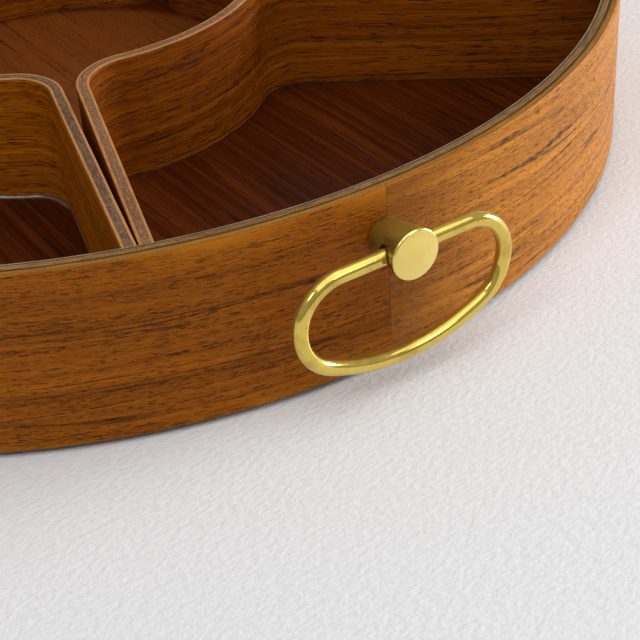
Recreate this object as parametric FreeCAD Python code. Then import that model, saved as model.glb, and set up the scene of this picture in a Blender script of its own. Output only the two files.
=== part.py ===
import FreeCAD, Part
import math
import os

# A round teak serving tray that turns on a ball race, with five bent-ply dividers and two brass
# ring handles. Millimetres. The origin is at the centre of the underside, on the table, and +Z is
# up. The two handles are on -Y and +Y. The stack is worked out upwards from the table.

Vector = FreeCAD.Vector
ORIGIN = Vector(0, 0, 0)
X_AXIS = Vector(1, 0, 0)
Z_AXIS = Vector(0, 0, 1)

# Hoop: a strip of plies bent into a circle
RIM_RADIUS = 219.0               # outside of the hoop
RIM_HEIGHT = 60.5                # width of the bent strip
RIM_EDGE_ROUND = 0.6             # rounding of the outer veneer's two edges
VENEER_SEAM_OFFSET = 1.8         # the veneer leaves meet this far beside each handle's axis
OUTER_VENEER = 0.8
OUTER_PLY = 1.3
CROSSBAND = 0.9
INNER_PLY = 2.0
INNER_CROSSBAND = 0.45
INNER_VENEER = 0.65

# Floor: a thin plywood disc glued inside the hoop
FLOOR_LIFT = 6.5                 # floor's underside above the hoop's lower edge
FLOOR_CORE = 2.9
FLOOR_VENEER = 0.6

# Dividers: five bent strips, each a back wall and two legs that end on the hoop
DIVIDER_COUNT = 5
DIVIDER_HEIGHT = 46.2
DIVIDER_THICKNESS = 4.4
DIVIDER_FACE = 0.9               # face veneer on each side of the core
DIVIDER_FIRST_AZIMUTH = -72.9    # middle of the first compartment, in degrees from +X
DIVIDER_LEG_GAP = 0.4            # between neighbouring legs where they meet the hoop
DIVIDER_GLUE_LINE = 0.1          # between a leg's end and the hoop
# Degrees that each pair of legs leans away from the lines between the compartments
DIVIDER_SPLAYS = (-1.238, 3.262, 1.062, 1.062, 1.062)
DIVIDER_WALL_RADII = (84.5, 87.3, 86.0, 86.0, 86.0)  # compartment side of each back wall
DIVIDER_BEND_RADII = (17.0, 16.0, 16.5, 16.5, 16.5)  # compartment side of each corner

# Handles: a turned post that holds a ring of bent rod
POST_HEIGHT = 45.4               # post's axis above the hoop's lower edge
POST_LENGTH = 17.5
POST_BASE_RADIUS = 5.3
POST_FACE_RADIUS = 8.2
POST_EDGE_ROUND = 0.8
POST_DOME = 1.2                  # rise of the face at its middle
RING_STANDOFF = 10.4             # ring's axis in front of the hoop
CROSS_HOLE_DROP = 0.5            # ring's axis below the post's axis
RING_ROD_RADIUS = 2.5
RING_HOLE_CLEARANCE = 0.5        # radial, between the rod and the post's cross hole
RING_TOP_HALF = 22.9             # half of the straight length through the post
RING_DROP = 36.0                 # from the ring's axis to the middle of its lower side
RING_SHOULDER_RADIUS = 14.4
RING_CORNER_RADIUS = 17.0
RING_END_GAP = 1.0               # between the rod's two ends, inside the post

# Screws that hold the posts from inside
HANDLE_SCREW_RADIUS = 2.0
HANDLE_SCREW_HEAD_RADIUS = 3.6
HANDLE_SCREW_HEAD = 2.0
HANDLE_SCREW_BITE = 6.0          # length inside the post
HANDLE_SCREW_HOLE_CLEARANCE = 0.15
HANDLE_WASHER_RADIUS = 5.0
HANDLE_WASHER = 0.8
SLOT_WIDTH = 0.8
SLOT_DEPTH = 0.6

# Base: a disc on feet that carries the lower race
FOOT_THICKNESS = 1.0
FOOT_RADIUS = 9.0
FOOT_EDGE_INSET = 14.0           # from the base's edge to a foot's centre
FOOT_COUNT = 4
BASE_RADIUS = 110.0
BASE_THICKNESS = 2.6

# Ball race between the base and the floor
RACE_THICKNESS = 1.6
RACE_INNER_RADIUS = 60.0
RACE_OUTER_RADIUS = 84.0
RACE_GAP = 1.7                   # between the two races
BALL_TRACK_RADIUS = 67.0
BALL_RADIUS = 1.75
BALL_CLEARANCE = 0.05            # ball to groove
BALL_COUNT = 24
CAGE_THICKNESS = 1.0
CAGE_HALF_WIDTH = 4.0
CAGE_POCKET_CLEARANCE = 0.1

# Countersunk screws of the races and the hub
RACE_SCREW_COUNT = 6
RACE_SCREW_INSET = 6.0           # from the race's outer edge to a screw's axis
HUB_SCREW_COUNT = 3
SCREW_RADIUS = 1.2
SCREW_HEAD_RADIUS = 2.2
SCREW_HEAD_DEPTH = 0.9
SCREW_BITE = 2.1                 # length in the wood
SCREW_SLOT_WIDTH = 0.5
SCREW_SLOT_DEPTH = 0.3

# Pivot: a hub under the floor turns in a bush in the base
HUB_FLANGE_RADIUS = 18.0
HUB_FLANGE = 1.6
HUB_SCREW_RADIUS_FROM_AXIS = 12.5
SPIGOT_RADIUS = 5.0
SPIGOT_CLEARANCE = 0.05
BUSH_WALL = 2.0
BUSH_FLANGE_WIDTH = 3.0
BUSH_FLANGE = 0.6
PIVOT_RECESS = 0.9               # depth of the washer's recess in the base
PIVOT_RECESS_CLEARANCE = 1.0
PIVOT_PLAY = 0.1                 # up and down play of the tray on its base
PIVOT_WASHER_OVERLAP = 1.5       # how far the washer reaches under the bush
PIVOT_WASHER = 0.6
PIVOT_SCREW_RADIUS = 2.0
PIVOT_SCREW_HEAD_RADIUS = 3.5
PIVOT_SCREW_HEAD = 0.6
PIVOT_SCREW_BITE = 3.5

CUT = 1.0                        # how far a cutting tool passes a face

# Levels above the table, from the feet upwards
BASE_BOTTOM = FOOT_THICKNESS
BASE_TOP = BASE_BOTTOM + BASE_THICKNESS
LOWER_RACE_TOP = BASE_TOP + RACE_THICKNESS
UPPER_RACE_BOTTOM = LOWER_RACE_TOP + RACE_GAP
FLOOR_BOTTOM = UPPER_RACE_BOTTOM + RACE_THICKNESS
FLOOR_CORE_BOTTOM = FLOOR_BOTTOM + FLOOR_VENEER
FLOOR_CORE_TOP = FLOOR_CORE_BOTTOM + FLOOR_CORE
FLOOR_TOP = FLOOR_CORE_TOP + FLOOR_VENEER
RIM_BOTTOM = FLOOR_BOTTOM - FLOOR_LIFT
BALL_LEVEL = (LOWER_RACE_TOP + UPPER_RACE_BOTTOM) / 2
HANDLE_LEVEL = RIM_BOTTOM + POST_HEIGHT
RING_LEVEL = HANDLE_LEVEL - CROSS_HOLE_DROP

# The hoop's plies from the outside inwards
RIM_PLIES = (
    ("rim_outer_veneer", OUTER_VENEER),
    ("rim_outer_ply", OUTER_PLY),
    ("rim_crossband", CROSSBAND),
    ("rim_inner_ply", INNER_PLY),
    ("rim_inner_crossband", INNER_CROSSBAND),
    ("rim_inner_veneer", INNER_VENEER),
)
RIM_THICKNESS = sum(thickness for _, thickness in RIM_PLIES)
RIM_INNER_RADIUS = RIM_RADIUS - RIM_THICKNESS

# Each handle: the side's name and the turn about Z that takes the front there
HANDLE_SIDES = (("front", 0.0), ("back", 180.0))


def cylinder(radius, bottom, top):
    """A cylinder on the Z axis between two levels."""
    return Part.makeCylinder(radius, top - bottom, Vector(0, 0, bottom), Z_AXIS)


def tube(outer, inner, bottom, top):
    """A round wall on the Z axis between two levels."""
    return cylinder(outer, bottom, top).cut(cylinder(inner, bottom - CUT, top + CUT))


def turned(shape, azimuth):
    """A copy of a shape, turned about the Z axis."""
    copy = shape.copy()
    copy.rotate(ORIGIN, Z_AXIS, azimuth)
    return copy


def round_the_axis(shape, count, first=0.0):
    """Copies of a shape, evenly spaced about the Z axis."""
    return [turned(shape, first + 360.0 * index / count) for index in range(count)]


def cut_all(shape, tools):
    """A shape with every tool cut from it."""
    for tool in tools:
        shape = shape.cut(tool)
    return shape


def facing_front(shape, level):
    """Lay a shape built along +Z down along -Y, with its own origin on the hoop's outer face."""
    copy = shape.copy()
    copy.rotate(ORIGIN, X_AXIS, 90)
    copy.translate(Vector(0, -RIM_RADIUS, level))
    return copy


# ---- Screws ----

def countersunk_screw():
    """A race screw: head face at z = 0, pointing down."""
    shank_length = RACE_THICKNESS + SCREW_BITE
    head = Part.makeCone(SCREW_RADIUS, SCREW_HEAD_RADIUS, SCREW_HEAD_DEPTH, Vector(0, 0, -SCREW_HEAD_DEPTH))
    shank = cylinder(SCREW_RADIUS, -shank_length, -SCREW_HEAD_DEPTH)
    slot = Part.makeBox(
        2 * SCREW_HEAD_RADIUS + CUT, SCREW_SLOT_WIDTH, SCREW_SLOT_DEPTH + CUT,
        Vector(-SCREW_HEAD_RADIUS - CUT / 2, -SCREW_SLOT_WIDTH / 2, -SCREW_SLOT_DEPTH),
    )
    return head.fuse(shank).removeSplitter().cut(slot)


def countersunk_hole():
    """The hole that a race screw fills, from its head face down."""
    head = Part.makeCone(SCREW_RADIUS, SCREW_HEAD_RADIUS, SCREW_HEAD_DEPTH, Vector(0, 0, -SCREW_HEAD_DEPTH))
    shank = cylinder(SCREW_RADIUS, -RACE_THICKNESS - SCREW_BITE, -SCREW_HEAD_DEPTH)
    return head.fuse(shank).removeSplitter()


def placed(shape, radius, level, pointing_up):
    """A copy of a screw or hole on the X axis at a radius, pointing down or up."""
    copy = shape.copy()
    if pointing_up:
        copy.rotate(ORIGIN, X_AXIS, 180)
    copy.translate(Vector(radius, 0, level))
    return copy


RACE_SCREW_FROM_AXIS = RACE_OUTER_RADIUS - RACE_SCREW_INSET


def lower_race_set(shape):
    """A screw or hole at each place of the lower race."""
    return round_the_axis(placed(shape, RACE_SCREW_FROM_AXIS, LOWER_RACE_TOP, False), RACE_SCREW_COUNT)


def upper_race_set(shape):
    """A screw or hole at each place of the upper race."""
    return round_the_axis(placed(shape, RACE_SCREW_FROM_AXIS, UPPER_RACE_BOTTOM, True), RACE_SCREW_COUNT)


def hub_set(shape):
    """A screw or hole at each place of the hub's flange."""
    level = FLOOR_BOTTOM - HUB_FLANGE
    return round_the_axis(placed(shape, HUB_SCREW_RADIUS_FROM_AXIS, level, True), HUB_SCREW_COUNT, 90.0)


# ---- Hoop ----

def rim_ply(outer, thickness):
    """One ply of the hoop, with its holes for the handle screws."""
    hole_radius = HANDLE_SCREW_RADIUS + HANDLE_SCREW_HOLE_CLEARANCE
    ply = tube(outer, outer - thickness, RIM_BOTTOM, RIM_BOTTOM + RIM_HEIGHT)
    length = 2 * (RIM_RADIUS + CUT)
    hole = Part.makeCylinder(hole_radius, length, Vector(0, -length / 2, HANDLE_LEVEL), Vector(0, 1, 0))
    return ply.cut(hole)


def rounded_outer_veneer():
    """The outer veneer as one band with rounded edges, before it is cut at its seams."""
    band = rim_ply(RIM_RADIUS, OUTER_VENEER)
    edges = []
    for edge in band.Edges:
        is_rim_circle = isinstance(edge.Curve, Part.Circle) and abs(edge.Curve.Radius - RIM_RADIUS) < 0.01
        if is_rim_circle:
            edges.append(edge)
    return band.makeFillet(min(RIM_EDGE_ROUND, OUTER_VENEER - 0.1), edges)


def build_rim():
    """The hoop's plies. The outer veneer is two leaves that meet beside the handles."""
    nodes = {}
    outer = RIM_RADIUS
    for name, thickness in RIM_PLIES:
        if name == "rim_outer_veneer":
            band = rounded_outer_veneer()
            size = 2 * (RIM_RADIUS + CUT)
            corner = Vector(VENEER_SEAM_OFFSET, -size / 2, RIM_BOTTOM - CUT)
            east = Part.makeBox(size, size, RIM_HEIGHT + 2 * CUT, corner)
            nodes["rim_outer_veneer_east"] = band.common(east)
            nodes["rim_outer_veneer_west"] = band.cut(east)
        else:
            nodes[name] = rim_ply(outer, thickness)
        outer -= thickness
    return nodes


# ---- Floor ----

def build_floor():
    """The floor's core and its two face veneers, with pilot holes from below."""
    holes = upper_race_set(countersunk_hole()) + hub_set(countersunk_hole())
    return {
        "floor_bottom_veneer": cut_all(cylinder(RIM_INNER_RADIUS, FLOOR_BOTTOM, FLOOR_CORE_BOTTOM), holes),
        "floor_core": cut_all(cylinder(RIM_INNER_RADIUS, FLOOR_CORE_BOTTOM, FLOOR_CORE_TOP), holes),
        "floor_top_veneer": cylinder(RIM_INNER_RADIUS, FLOOR_CORE_TOP, FLOOR_TOP),
    }


# ---- Dividers ----

def leg_end_angle():
    """Azimuth of a leg's compartment face at the hoop, from the compartment's middle."""
    half_pitch = 180.0 / DIVIDER_COUNT
    across = DIVIDER_THICKNESS + DIVIDER_LEG_GAP / 2
    return half_pitch - math.degrees(across / RIM_INNER_RADIUS)


def divider_path(index, offset):
    """The wire at an offset behind the compartment's faces, for a compartment along +X.

    Each leg is a straight line through its end point on the hoop. A corner arc touches the leg and
    the back wall. Every offset keeps the same centres, so the plies stay parallel.
    """
    end_angle = math.radians(leg_end_angle())
    wall_radius = DIVIDER_WALL_RADII[index]
    bend_radius = DIVIDER_BEND_RADII[index]
    heading = math.radians(180.0 / DIVIDER_COUNT + DIVIDER_SPLAYS[index])
    along = Vector(math.cos(heading), math.sin(heading), 0)
    inward = Vector(math.sin(heading), -math.cos(heading), 0)
    line_distance = RIM_INNER_RADIUS * math.sin(heading - end_angle)
    across = bend_radius + line_distance
    reach = math.sqrt((wall_radius + bend_radius) ** 2 - across ** 2)
    bend_centre = inward * across + along * reach
    bend = bend_radius + offset
    leg_foot = bend_centre - inward * bend
    leg_tip = leg_foot + along * (2 * RIM_RADIUS)
    wall_end = bend_centre * ((wall_radius - offset) / (wall_radius + bend_radius))
    toward_leg = (leg_foot - bend_centre).normalize()
    toward_wall = (wall_end - bend_centre).normalize()
    bend_middle = bend_centre + (toward_leg + toward_wall).normalize() * bend

    def mirrored(point):
        return Vector(point.x, -point.y, point.z)

    return [
        Part.LineSegment(leg_tip, leg_foot).toShape(),
        Part.Arc(leg_foot, bend_middle, wall_end).toShape(),
        Part.Arc(wall_end, Vector(wall_radius - offset, 0, 0), mirrored(wall_end)).toShape(),
        Part.Arc(mirrored(wall_end), mirrored(bend_middle), mirrored(leg_foot)).toShape(),
        Part.LineSegment(mirrored(leg_foot), mirrored(leg_tip)).toShape(),
    ]


def divider_layer(index, near, far):
    """One ply of a divider, between two offsets behind the compartment's faces."""
    near_edges = divider_path(index, near)
    far_edges = divider_path(index, far)
    near_start = near_edges[0].Vertexes[0].Point
    near_stop = near_edges[-1].Vertexes[-1].Point
    far_start = far_edges[0].Vertexes[0].Point
    far_stop = far_edges[-1].Vertexes[-1].Point
    ends = [
        Part.LineSegment(near_start, far_start).toShape(),
        Part.LineSegment(near_stop, far_stop).toShape(),
    ]
    outline = Part.Wire(Part.__sortEdges__(near_edges + far_edges + ends))
    layer = Part.Face(outline).extrude(Vector(0, 0, DIVIDER_HEIGHT))
    layer.translate(Vector(0, 0, FLOOR_TOP))
    reach = RIM_INNER_RADIUS - DIVIDER_GLUE_LINE
    return layer.common(cylinder(reach, FLOOR_TOP - CUT, FLOOR_TOP + DIVIDER_HEIGHT + CUT))


def build_dividers():
    """Each divider's core and its face veneers, on the compartment side and on the far side."""
    nodes = {}
    core_far = DIVIDER_THICKNESS - DIVIDER_FACE
    layers = (
        ("inside_veneer", 0.0, DIVIDER_FACE),
        ("core", DIVIDER_FACE, core_far),
        ("outside_veneer", core_far, DIVIDER_THICKNESS),
    )
    for index in range(DIVIDER_COUNT):
        azimuth = DIVIDER_FIRST_AZIMUTH - 360.0 * index / DIVIDER_COUNT
        for layer_name, near, far in layers:
            layer = divider_layer(index, near, far)
            nodes[f"divider_{index + 1}_{layer_name}"] = turned(layer, azimuth)
    return nodes


# ---- Handles ----

def post_profile_solid():
    """The turned post along +Z, from its foot at z = 0 to the top of its domed face."""
    shoulder = POST_LENGTH - POST_DOME
    edge_start = shoulder - POST_EDGE_ROUND
    face_radius = POST_FACE_RADIUS - POST_EDGE_ROUND
    corner = POST_EDGE_ROUND * math.sqrt(0.5)
    # The dome's arc passes through the face's edge and the middle, so its halfway point follows
    dome_radius = (face_radius ** 2 + POST_DOME ** 2) / (2 * POST_DOME)
    half_angle = math.asin(face_radius / dome_radius) / 2
    dome_middle = Vector(
        dome_radius * math.sin(half_angle), 0, POST_LENGTH - dome_radius * (1 - math.cos(half_angle))
    )
    edge_middle = Vector(face_radius + corner, 0, edge_start + corner)
    root = Vector(0, 0, -CUT)
    root_edge = Vector(POST_BASE_RADIUS, 0, -CUT)
    foot_edge = Vector(POST_BASE_RADIUS, 0, 0)
    widest = Vector(POST_FACE_RADIUS, 0, edge_start)
    face_edge = Vector(face_radius, 0, shoulder)
    top = Vector(0, 0, POST_LENGTH)
    outline = Part.Wire([
        Part.LineSegment(root, root_edge).toShape(),
        Part.LineSegment(root_edge, foot_edge).toShape(),
        Part.LineSegment(foot_edge, widest).toShape(),
        Part.Arc(widest, edge_middle, face_edge).toShape(),
        Part.Arc(face_edge, dome_middle, top).toShape(),
        Part.LineSegment(top, root).toShape(),
    ])
    return Part.Face(outline).revolve(ORIGIN, Z_AXIS, 360)


def build_post():
    """The front post, its foot shaped to the hoop, with its cross hole and tapped hole."""
    post = facing_front(post_profile_solid(), HANDLE_LEVEL)
    reach = POST_FACE_RADIUS + CUT
    post = post.cut(cylinder(RIM_RADIUS, HANDLE_LEVEL - reach, HANDLE_LEVEL + reach))
    axis_y = -(RIM_RADIUS + RING_STANDOFF)
    hole_radius = RING_ROD_RADIUS + RING_HOLE_CLEARANCE
    cross_hole = Part.makeCylinder(hole_radius, 2 * reach, Vector(-reach, axis_y, RING_LEVEL), X_AXIS)
    tapped = facing_front(cylinder(HANDLE_SCREW_RADIUS, -CUT, HANDLE_SCREW_BITE), HANDLE_LEVEL)
    return post.cut(cross_hole).cut(tapped)


def ring_path():
    """The rod's line in the ring's plane: x sideways, z down from the ring's axis as negative z.

    A straight top with a gap in its middle, two shoulder arcs, two tighter corner arcs, and one
    long bow below. Neighbours share a tangent.
    """
    corner_x = RING_TOP_HALF + RING_SHOULDER_RADIUS - RING_CORNER_RADIUS
    drop_left = RING_DROP - RING_SHOULDER_RADIUS
    # The bow's radius is set by touching both corner arcs and reaching the full drop
    bow_radius = (corner_x ** 2 + drop_left ** 2 - RING_CORNER_RADIUS ** 2) / (
        2 * (drop_left - RING_CORNER_RADIUS)
    )
    bow_centre_z = bow_radius - RING_DROP
    corner_centre = Vector(corner_x, 0, -RING_SHOULDER_RADIUS)
    outwards = (corner_centre - Vector(0, 0, bow_centre_z)).normalize()
    bow_end = corner_centre + outwards * RING_CORNER_RADIUS
    side = Vector(RING_TOP_HALF + RING_SHOULDER_RADIUS, 0, -RING_SHOULDER_RADIUS)
    corner_middle = corner_centre + (outwards + X_AXIS).normalize() * RING_CORNER_RADIUS
    slant = RING_SHOULDER_RADIUS * math.sqrt(0.5)
    shoulder_middle = Vector(RING_TOP_HALF + slant, 0, -RING_SHOULDER_RADIUS + slant)
    top_end = Vector(RING_TOP_HALF, 0, 0)
    rod_end = Vector(RING_END_GAP / 2, 0, 0)

    def mirrored(point):
        return Vector(-point.x, 0, point.z)

    return [
        Part.LineSegment(rod_end, top_end).toShape(),
        Part.Arc(top_end, shoulder_middle, side).toShape(),
        Part.Arc(side, corner_middle, bow_end).toShape(),
        Part.Arc(bow_end, Vector(0, 0, -RING_DROP), mirrored(bow_end)).toShape(),
        Part.Arc(mirrored(bow_end), mirrored(corner_middle), mirrored(side)).toShape(),
        Part.Arc(mirrored(side), mirrored(shoulder_middle), mirrored(top_end)).toShape(),
        Part.LineSegment(mirrored(top_end), mirrored(rod_end)).toShape(),
    ]


def build_ring():
    """The front ring: round rod carried along its path, hanging from the post."""
    path = Part.Wire(ring_path())
    section = Part.Wire(Part.Circle(Vector(RING_END_GAP / 2, 0, 0), X_AXIS, RING_ROD_RADIUS).toShape())
    ring = path.makePipeShell([section], True, False)
    ring.translate(Vector(0, -(RIM_RADIUS + RING_STANDOFF), RING_LEVEL))
    return ring


def build_handle_screw():
    """The front handle screw: a domed, slotted head inside the hoop and a shank into the post."""
    head_face = -RIM_THICKNESS - HANDLE_WASHER
    dome_radius = (HANDLE_SCREW_HEAD_RADIUS ** 2 + HANDLE_SCREW_HEAD ** 2) / (2 * HANDLE_SCREW_HEAD)
    dome = Part.makeSphere(dome_radius, Vector(0, 0, head_face - HANDLE_SCREW_HEAD + dome_radius))
    head = cylinder(HANDLE_SCREW_HEAD_RADIUS, head_face - HANDLE_SCREW_HEAD, head_face).common(dome)
    slot = Part.makeBox(
        2 * HANDLE_SCREW_HEAD_RADIUS + CUT, SLOT_WIDTH, SLOT_DEPTH + CUT,
        Vector(-HANDLE_SCREW_HEAD_RADIUS - CUT / 2, -SLOT_WIDTH / 2, head_face - HANDLE_SCREW_HEAD - CUT),
    )
    shank = cylinder(HANDLE_SCREW_RADIUS, head_face, HANDLE_SCREW_BITE)
    return facing_front(head.cut(slot).fuse(shank).removeSplitter(), HANDLE_LEVEL)


def build_handle_washer():
    """The front washer under the screw's head, its back shaped to the hoop's inside."""
    face = -RIM_THICKNESS - HANDLE_WASHER
    inner = HANDLE_SCREW_RADIUS + HANDLE_SCREW_HOLE_CLEARANCE
    disc = tube(HANDLE_WASHER_RADIUS, inner, face, 0)
    washer = facing_front(disc, HANDLE_LEVEL)
    return washer.common(cylinder(RIM_INNER_RADIUS, RIM_BOTTOM, RIM_BOTTOM + RIM_HEIGHT))


def build_handles():
    """Post, ring, screw and washer on each side."""
    nodes = {}
    pieces = {
        "handle_post": build_post(),
        "handle_ring": build_ring(),
        "handle_screw": build_handle_screw(),
        "handle_washer": build_handle_washer(),
    }
    for side, azimuth in HANDLE_SIDES:
        for name, shape in pieces.items():
            nodes[f"{name}_{side}"] = turned(shape, azimuth)
    return nodes


# ---- Ball race ----

def ball_groove():
    """The round groove that the balls run in, shared by both races."""
    return Part.makeTorus(BALL_TRACK_RADIUS, BALL_RADIUS + BALL_CLEARANCE, Vector(0, 0, BALL_LEVEL), Z_AXIS)


def build_races():
    """The two races, each with its groove and its countersunk holes."""
    lower = tube(RACE_OUTER_RADIUS, RACE_INNER_RADIUS, BASE_TOP, LOWER_RACE_TOP)
    upper = tube(RACE_OUTER_RADIUS, RACE_INNER_RADIUS, UPPER_RACE_BOTTOM, FLOOR_BOTTOM)
    return {
        "lower_race": cut_all(lower.cut(ball_groove()), lower_race_set(countersunk_hole())),
        "upper_race": cut_all(upper.cut(ball_groove()), upper_race_set(countersunk_hole())),
        "lower_race_screws": Part.makeCompound(lower_race_set(countersunk_screw())),
        "upper_race_screws": Part.makeCompound(upper_race_set(countersunk_screw())),
    }


def build_cage():
    """The balls and the flat ring that keeps them apart."""
    ball = Part.makeSphere(BALL_RADIUS, Vector(BALL_TRACK_RADIUS, 0, BALL_LEVEL))
    half = CAGE_THICKNESS / 2
    cage = tube(
        BALL_TRACK_RADIUS + CAGE_HALF_WIDTH, BALL_TRACK_RADIUS - CAGE_HALF_WIDTH,
        BALL_LEVEL - half, BALL_LEVEL + half,
    )
    pocket = cylinder(BALL_RADIUS + CAGE_POCKET_CLEARANCE, BALL_LEVEL - CUT, BALL_LEVEL + CUT)
    pocket.translate(Vector(BALL_TRACK_RADIUS, 0, 0))
    return {
        "ball_cage": cut_all(cage, round_the_axis(pocket, BALL_COUNT)),
        "bearing_balls": Part.makeCompound(round_the_axis(ball, BALL_COUNT)),
    }


# ---- Pivot and base ----

BUSH_RADIUS = SPIGOT_RADIUS + SPIGOT_CLEARANCE + BUSH_WALL
BUSH_BOTTOM = BASE_BOTTOM + PIVOT_RECESS
SPIGOT_BOTTOM = BUSH_BOTTOM - PIVOT_PLAY
PIVOT_WASHER_RADIUS = SPIGOT_RADIUS + PIVOT_WASHER_OVERLAP
PIVOT_WASHER_BOTTOM = SPIGOT_BOTTOM - PIVOT_WASHER


def build_pivot():
    """The hub under the floor, and the washer and screw that keep it in the bush."""
    flange = cylinder(HUB_FLANGE_RADIUS, FLOOR_BOTTOM - HUB_FLANGE, FLOOR_BOTTOM)
    spigot = cylinder(SPIGOT_RADIUS, SPIGOT_BOTTOM, FLOOR_BOTTOM - HUB_FLANGE)
    tapped = cylinder(PIVOT_SCREW_RADIUS, SPIGOT_BOTTOM - CUT, SPIGOT_BOTTOM + PIVOT_SCREW_BITE)
    hub = cut_all(flange.fuse(spigot).removeSplitter().cut(tapped), hub_set(countersunk_hole()))
    head_bottom = PIVOT_WASHER_BOTTOM - PIVOT_SCREW_HEAD
    head = cylinder(PIVOT_SCREW_HEAD_RADIUS, head_bottom, PIVOT_WASHER_BOTTOM)
    slot = Part.makeBox(
        2 * PIVOT_SCREW_HEAD_RADIUS + CUT, SLOT_WIDTH, SCREW_SLOT_DEPTH + CUT,
        Vector(-PIVOT_SCREW_HEAD_RADIUS - CUT / 2, -SLOT_WIDTH / 2, head_bottom - CUT),
    )
    shank = cylinder(PIVOT_SCREW_RADIUS, PIVOT_WASHER_BOTTOM, SPIGOT_BOTTOM + PIVOT_SCREW_BITE)
    return {
        "pivot_hub": hub,
        "pivot_hub_screws": Part.makeCompound(hub_set(countersunk_screw())),
        "pivot_washer": tube(PIVOT_WASHER_RADIUS, PIVOT_SCREW_RADIUS, PIVOT_WASHER_BOTTOM, SPIGOT_BOTTOM),
        "pivot_screw": head.cut(slot).fuse(shank).removeSplitter(),
    }


def build_base():
    """The base disc, its feet and the bush that the hub turns in."""
    bore_radius = SPIGOT_RADIUS + SPIGOT_CLEARANCE
    recess_radius = max(PIVOT_WASHER_RADIUS, BUSH_RADIUS) + PIVOT_RECESS_CLEARANCE
    barrel = cylinder(BUSH_RADIUS, BUSH_BOTTOM, BASE_TOP)
    flange = cylinder(BUSH_RADIUS + BUSH_FLANGE_WIDTH, BASE_TOP, BASE_TOP + BUSH_FLANGE)
    bore = cylinder(bore_radius, BUSH_BOTTOM - CUT, BASE_TOP + BUSH_FLANGE + CUT)
    tools = [
        cylinder(BUSH_RADIUS, BASE_BOTTOM - CUT, BASE_TOP + CUT),
        cylinder(recess_radius, BASE_BOTTOM - CUT, BUSH_BOTTOM),
    ]
    disc = cut_all(cylinder(BASE_RADIUS, BASE_BOTTOM, BASE_TOP), tools + lower_race_set(countersunk_hole()))
    foot = cylinder(FOOT_RADIUS, 0, FOOT_THICKNESS)
    foot.translate(Vector(BASE_RADIUS - FOOT_EDGE_INSET, 0, 0))
    return {
        "base_disc": disc,
        "base_bush": barrel.fuse(flange).removeSplitter().cut(bore),
        "base_feet": Part.makeCompound(round_the_axis(foot, FOOT_COUNT, 45.0)),
    }


def main():
    """Build every piece and write one STEP file for each."""
    os.makedirs("parts", exist_ok=True)
    nodes = {}
    for build in (build_rim, build_floor, build_dividers, build_handles, build_races, build_cage,
                  build_pivot, build_base):
        nodes.update(build())
    for name, shape in nodes.items():
        if not shape.isValid() or not shape.Solids:
            raise ValueError(f"{name} is not a valid solid")
        shape.exportStep(f"parts/{name}.step")
        print(f"{name}: {len(shape.Solids)} solid(s), {shape.Volume / 1000:.3f} cm3")


main()
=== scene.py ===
"""A round teak serving tray on a turntable, with bent-ply dividers and two brass ring handles.

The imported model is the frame. The hoop, floor face, dividers, posts and rings are built here as fine
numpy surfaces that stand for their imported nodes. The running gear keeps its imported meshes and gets
its finishes here. Sizes are in millimetres in the classes, and metres in the meshes.
"""

import logging
import math
from dataclasses import dataclass, field
from enum import Enum
from typing import Any

import bpy
import numpy as np
from mathutils import Matrix, Vector

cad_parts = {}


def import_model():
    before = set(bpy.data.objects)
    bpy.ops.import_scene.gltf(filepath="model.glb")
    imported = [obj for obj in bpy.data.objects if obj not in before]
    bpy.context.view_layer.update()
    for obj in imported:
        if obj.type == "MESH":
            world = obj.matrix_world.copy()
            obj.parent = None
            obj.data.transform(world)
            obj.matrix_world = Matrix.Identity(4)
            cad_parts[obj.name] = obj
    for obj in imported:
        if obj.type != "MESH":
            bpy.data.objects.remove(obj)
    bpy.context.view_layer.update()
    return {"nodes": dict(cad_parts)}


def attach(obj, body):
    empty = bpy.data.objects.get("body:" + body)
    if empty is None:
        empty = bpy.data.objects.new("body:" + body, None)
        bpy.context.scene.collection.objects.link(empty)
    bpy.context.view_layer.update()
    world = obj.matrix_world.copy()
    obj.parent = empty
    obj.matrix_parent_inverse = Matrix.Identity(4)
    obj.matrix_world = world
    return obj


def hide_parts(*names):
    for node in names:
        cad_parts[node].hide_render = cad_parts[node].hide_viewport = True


LOG = logging.getLogger("turntable")
MM = 0.001
GRAIN = "grain"
TRAY = "tray"
TURN = 2 * math.pi

# Driving sizes of the tray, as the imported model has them.
RISE = 2.0
TOP = 62.5
FLOOR_TOP = 12.6
INNER_RADIUS = 212.9
OUTER_RADIUS = 219.0
HINGE_REACH = 10.4

WOOD_IOR = 1.48

# A face is part of a sawn upper edge where it looks up and lies this near the top.
LOOKS_UP = 0.55
SAWN_DEPTH = 0.6

Array = np.ndarray
Profile = tuple[Array, Array]
Tones = tuple[str, str, str]


class Side(Enum):
    """A handle's side of the tray, with its turn about the upright axis in degrees."""

    FRONT = ("front", 0.0)
    BACK = ("back", 180.0)

    @property
    def label(self) -> str:
        """The side's name in the node names."""
        return self.value[0]

    @property
    def turn(self) -> float:
        """The side's turn in radians."""
        return math.radians(self.value[1])


class Cut(Enum):
    """How a veneer was cut, which sets how far its growth lines wander, in millimetres."""

    QUARTER = 1.6
    RIFT = 5.0
    FLAT = 8.0


class Place(Enum):
    """Where a pattern's millimetres come from."""

    SURFACE = "surface"
    SOLID = "solid"


# ---------------------------------------------------------------- colours and patterns


def linear(code: str) -> tuple[float, float, float, float]:
    """Turn an sRGB hex colour into linear light.

    Args:
        code: six hex digits after a hash.

    Returns:
        Red, green and blue in linear light, and an alpha of one.
    """
    parts = [int(code[k : k + 2], 16) / 255 for k in (1, 3, 5)]
    red, green, blue = (p / 12.92 if p <= 0.04045 else ((p + 0.055) / 1.055) ** 2.4 for p in parts)
    return red, green, blue, 1.0


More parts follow.
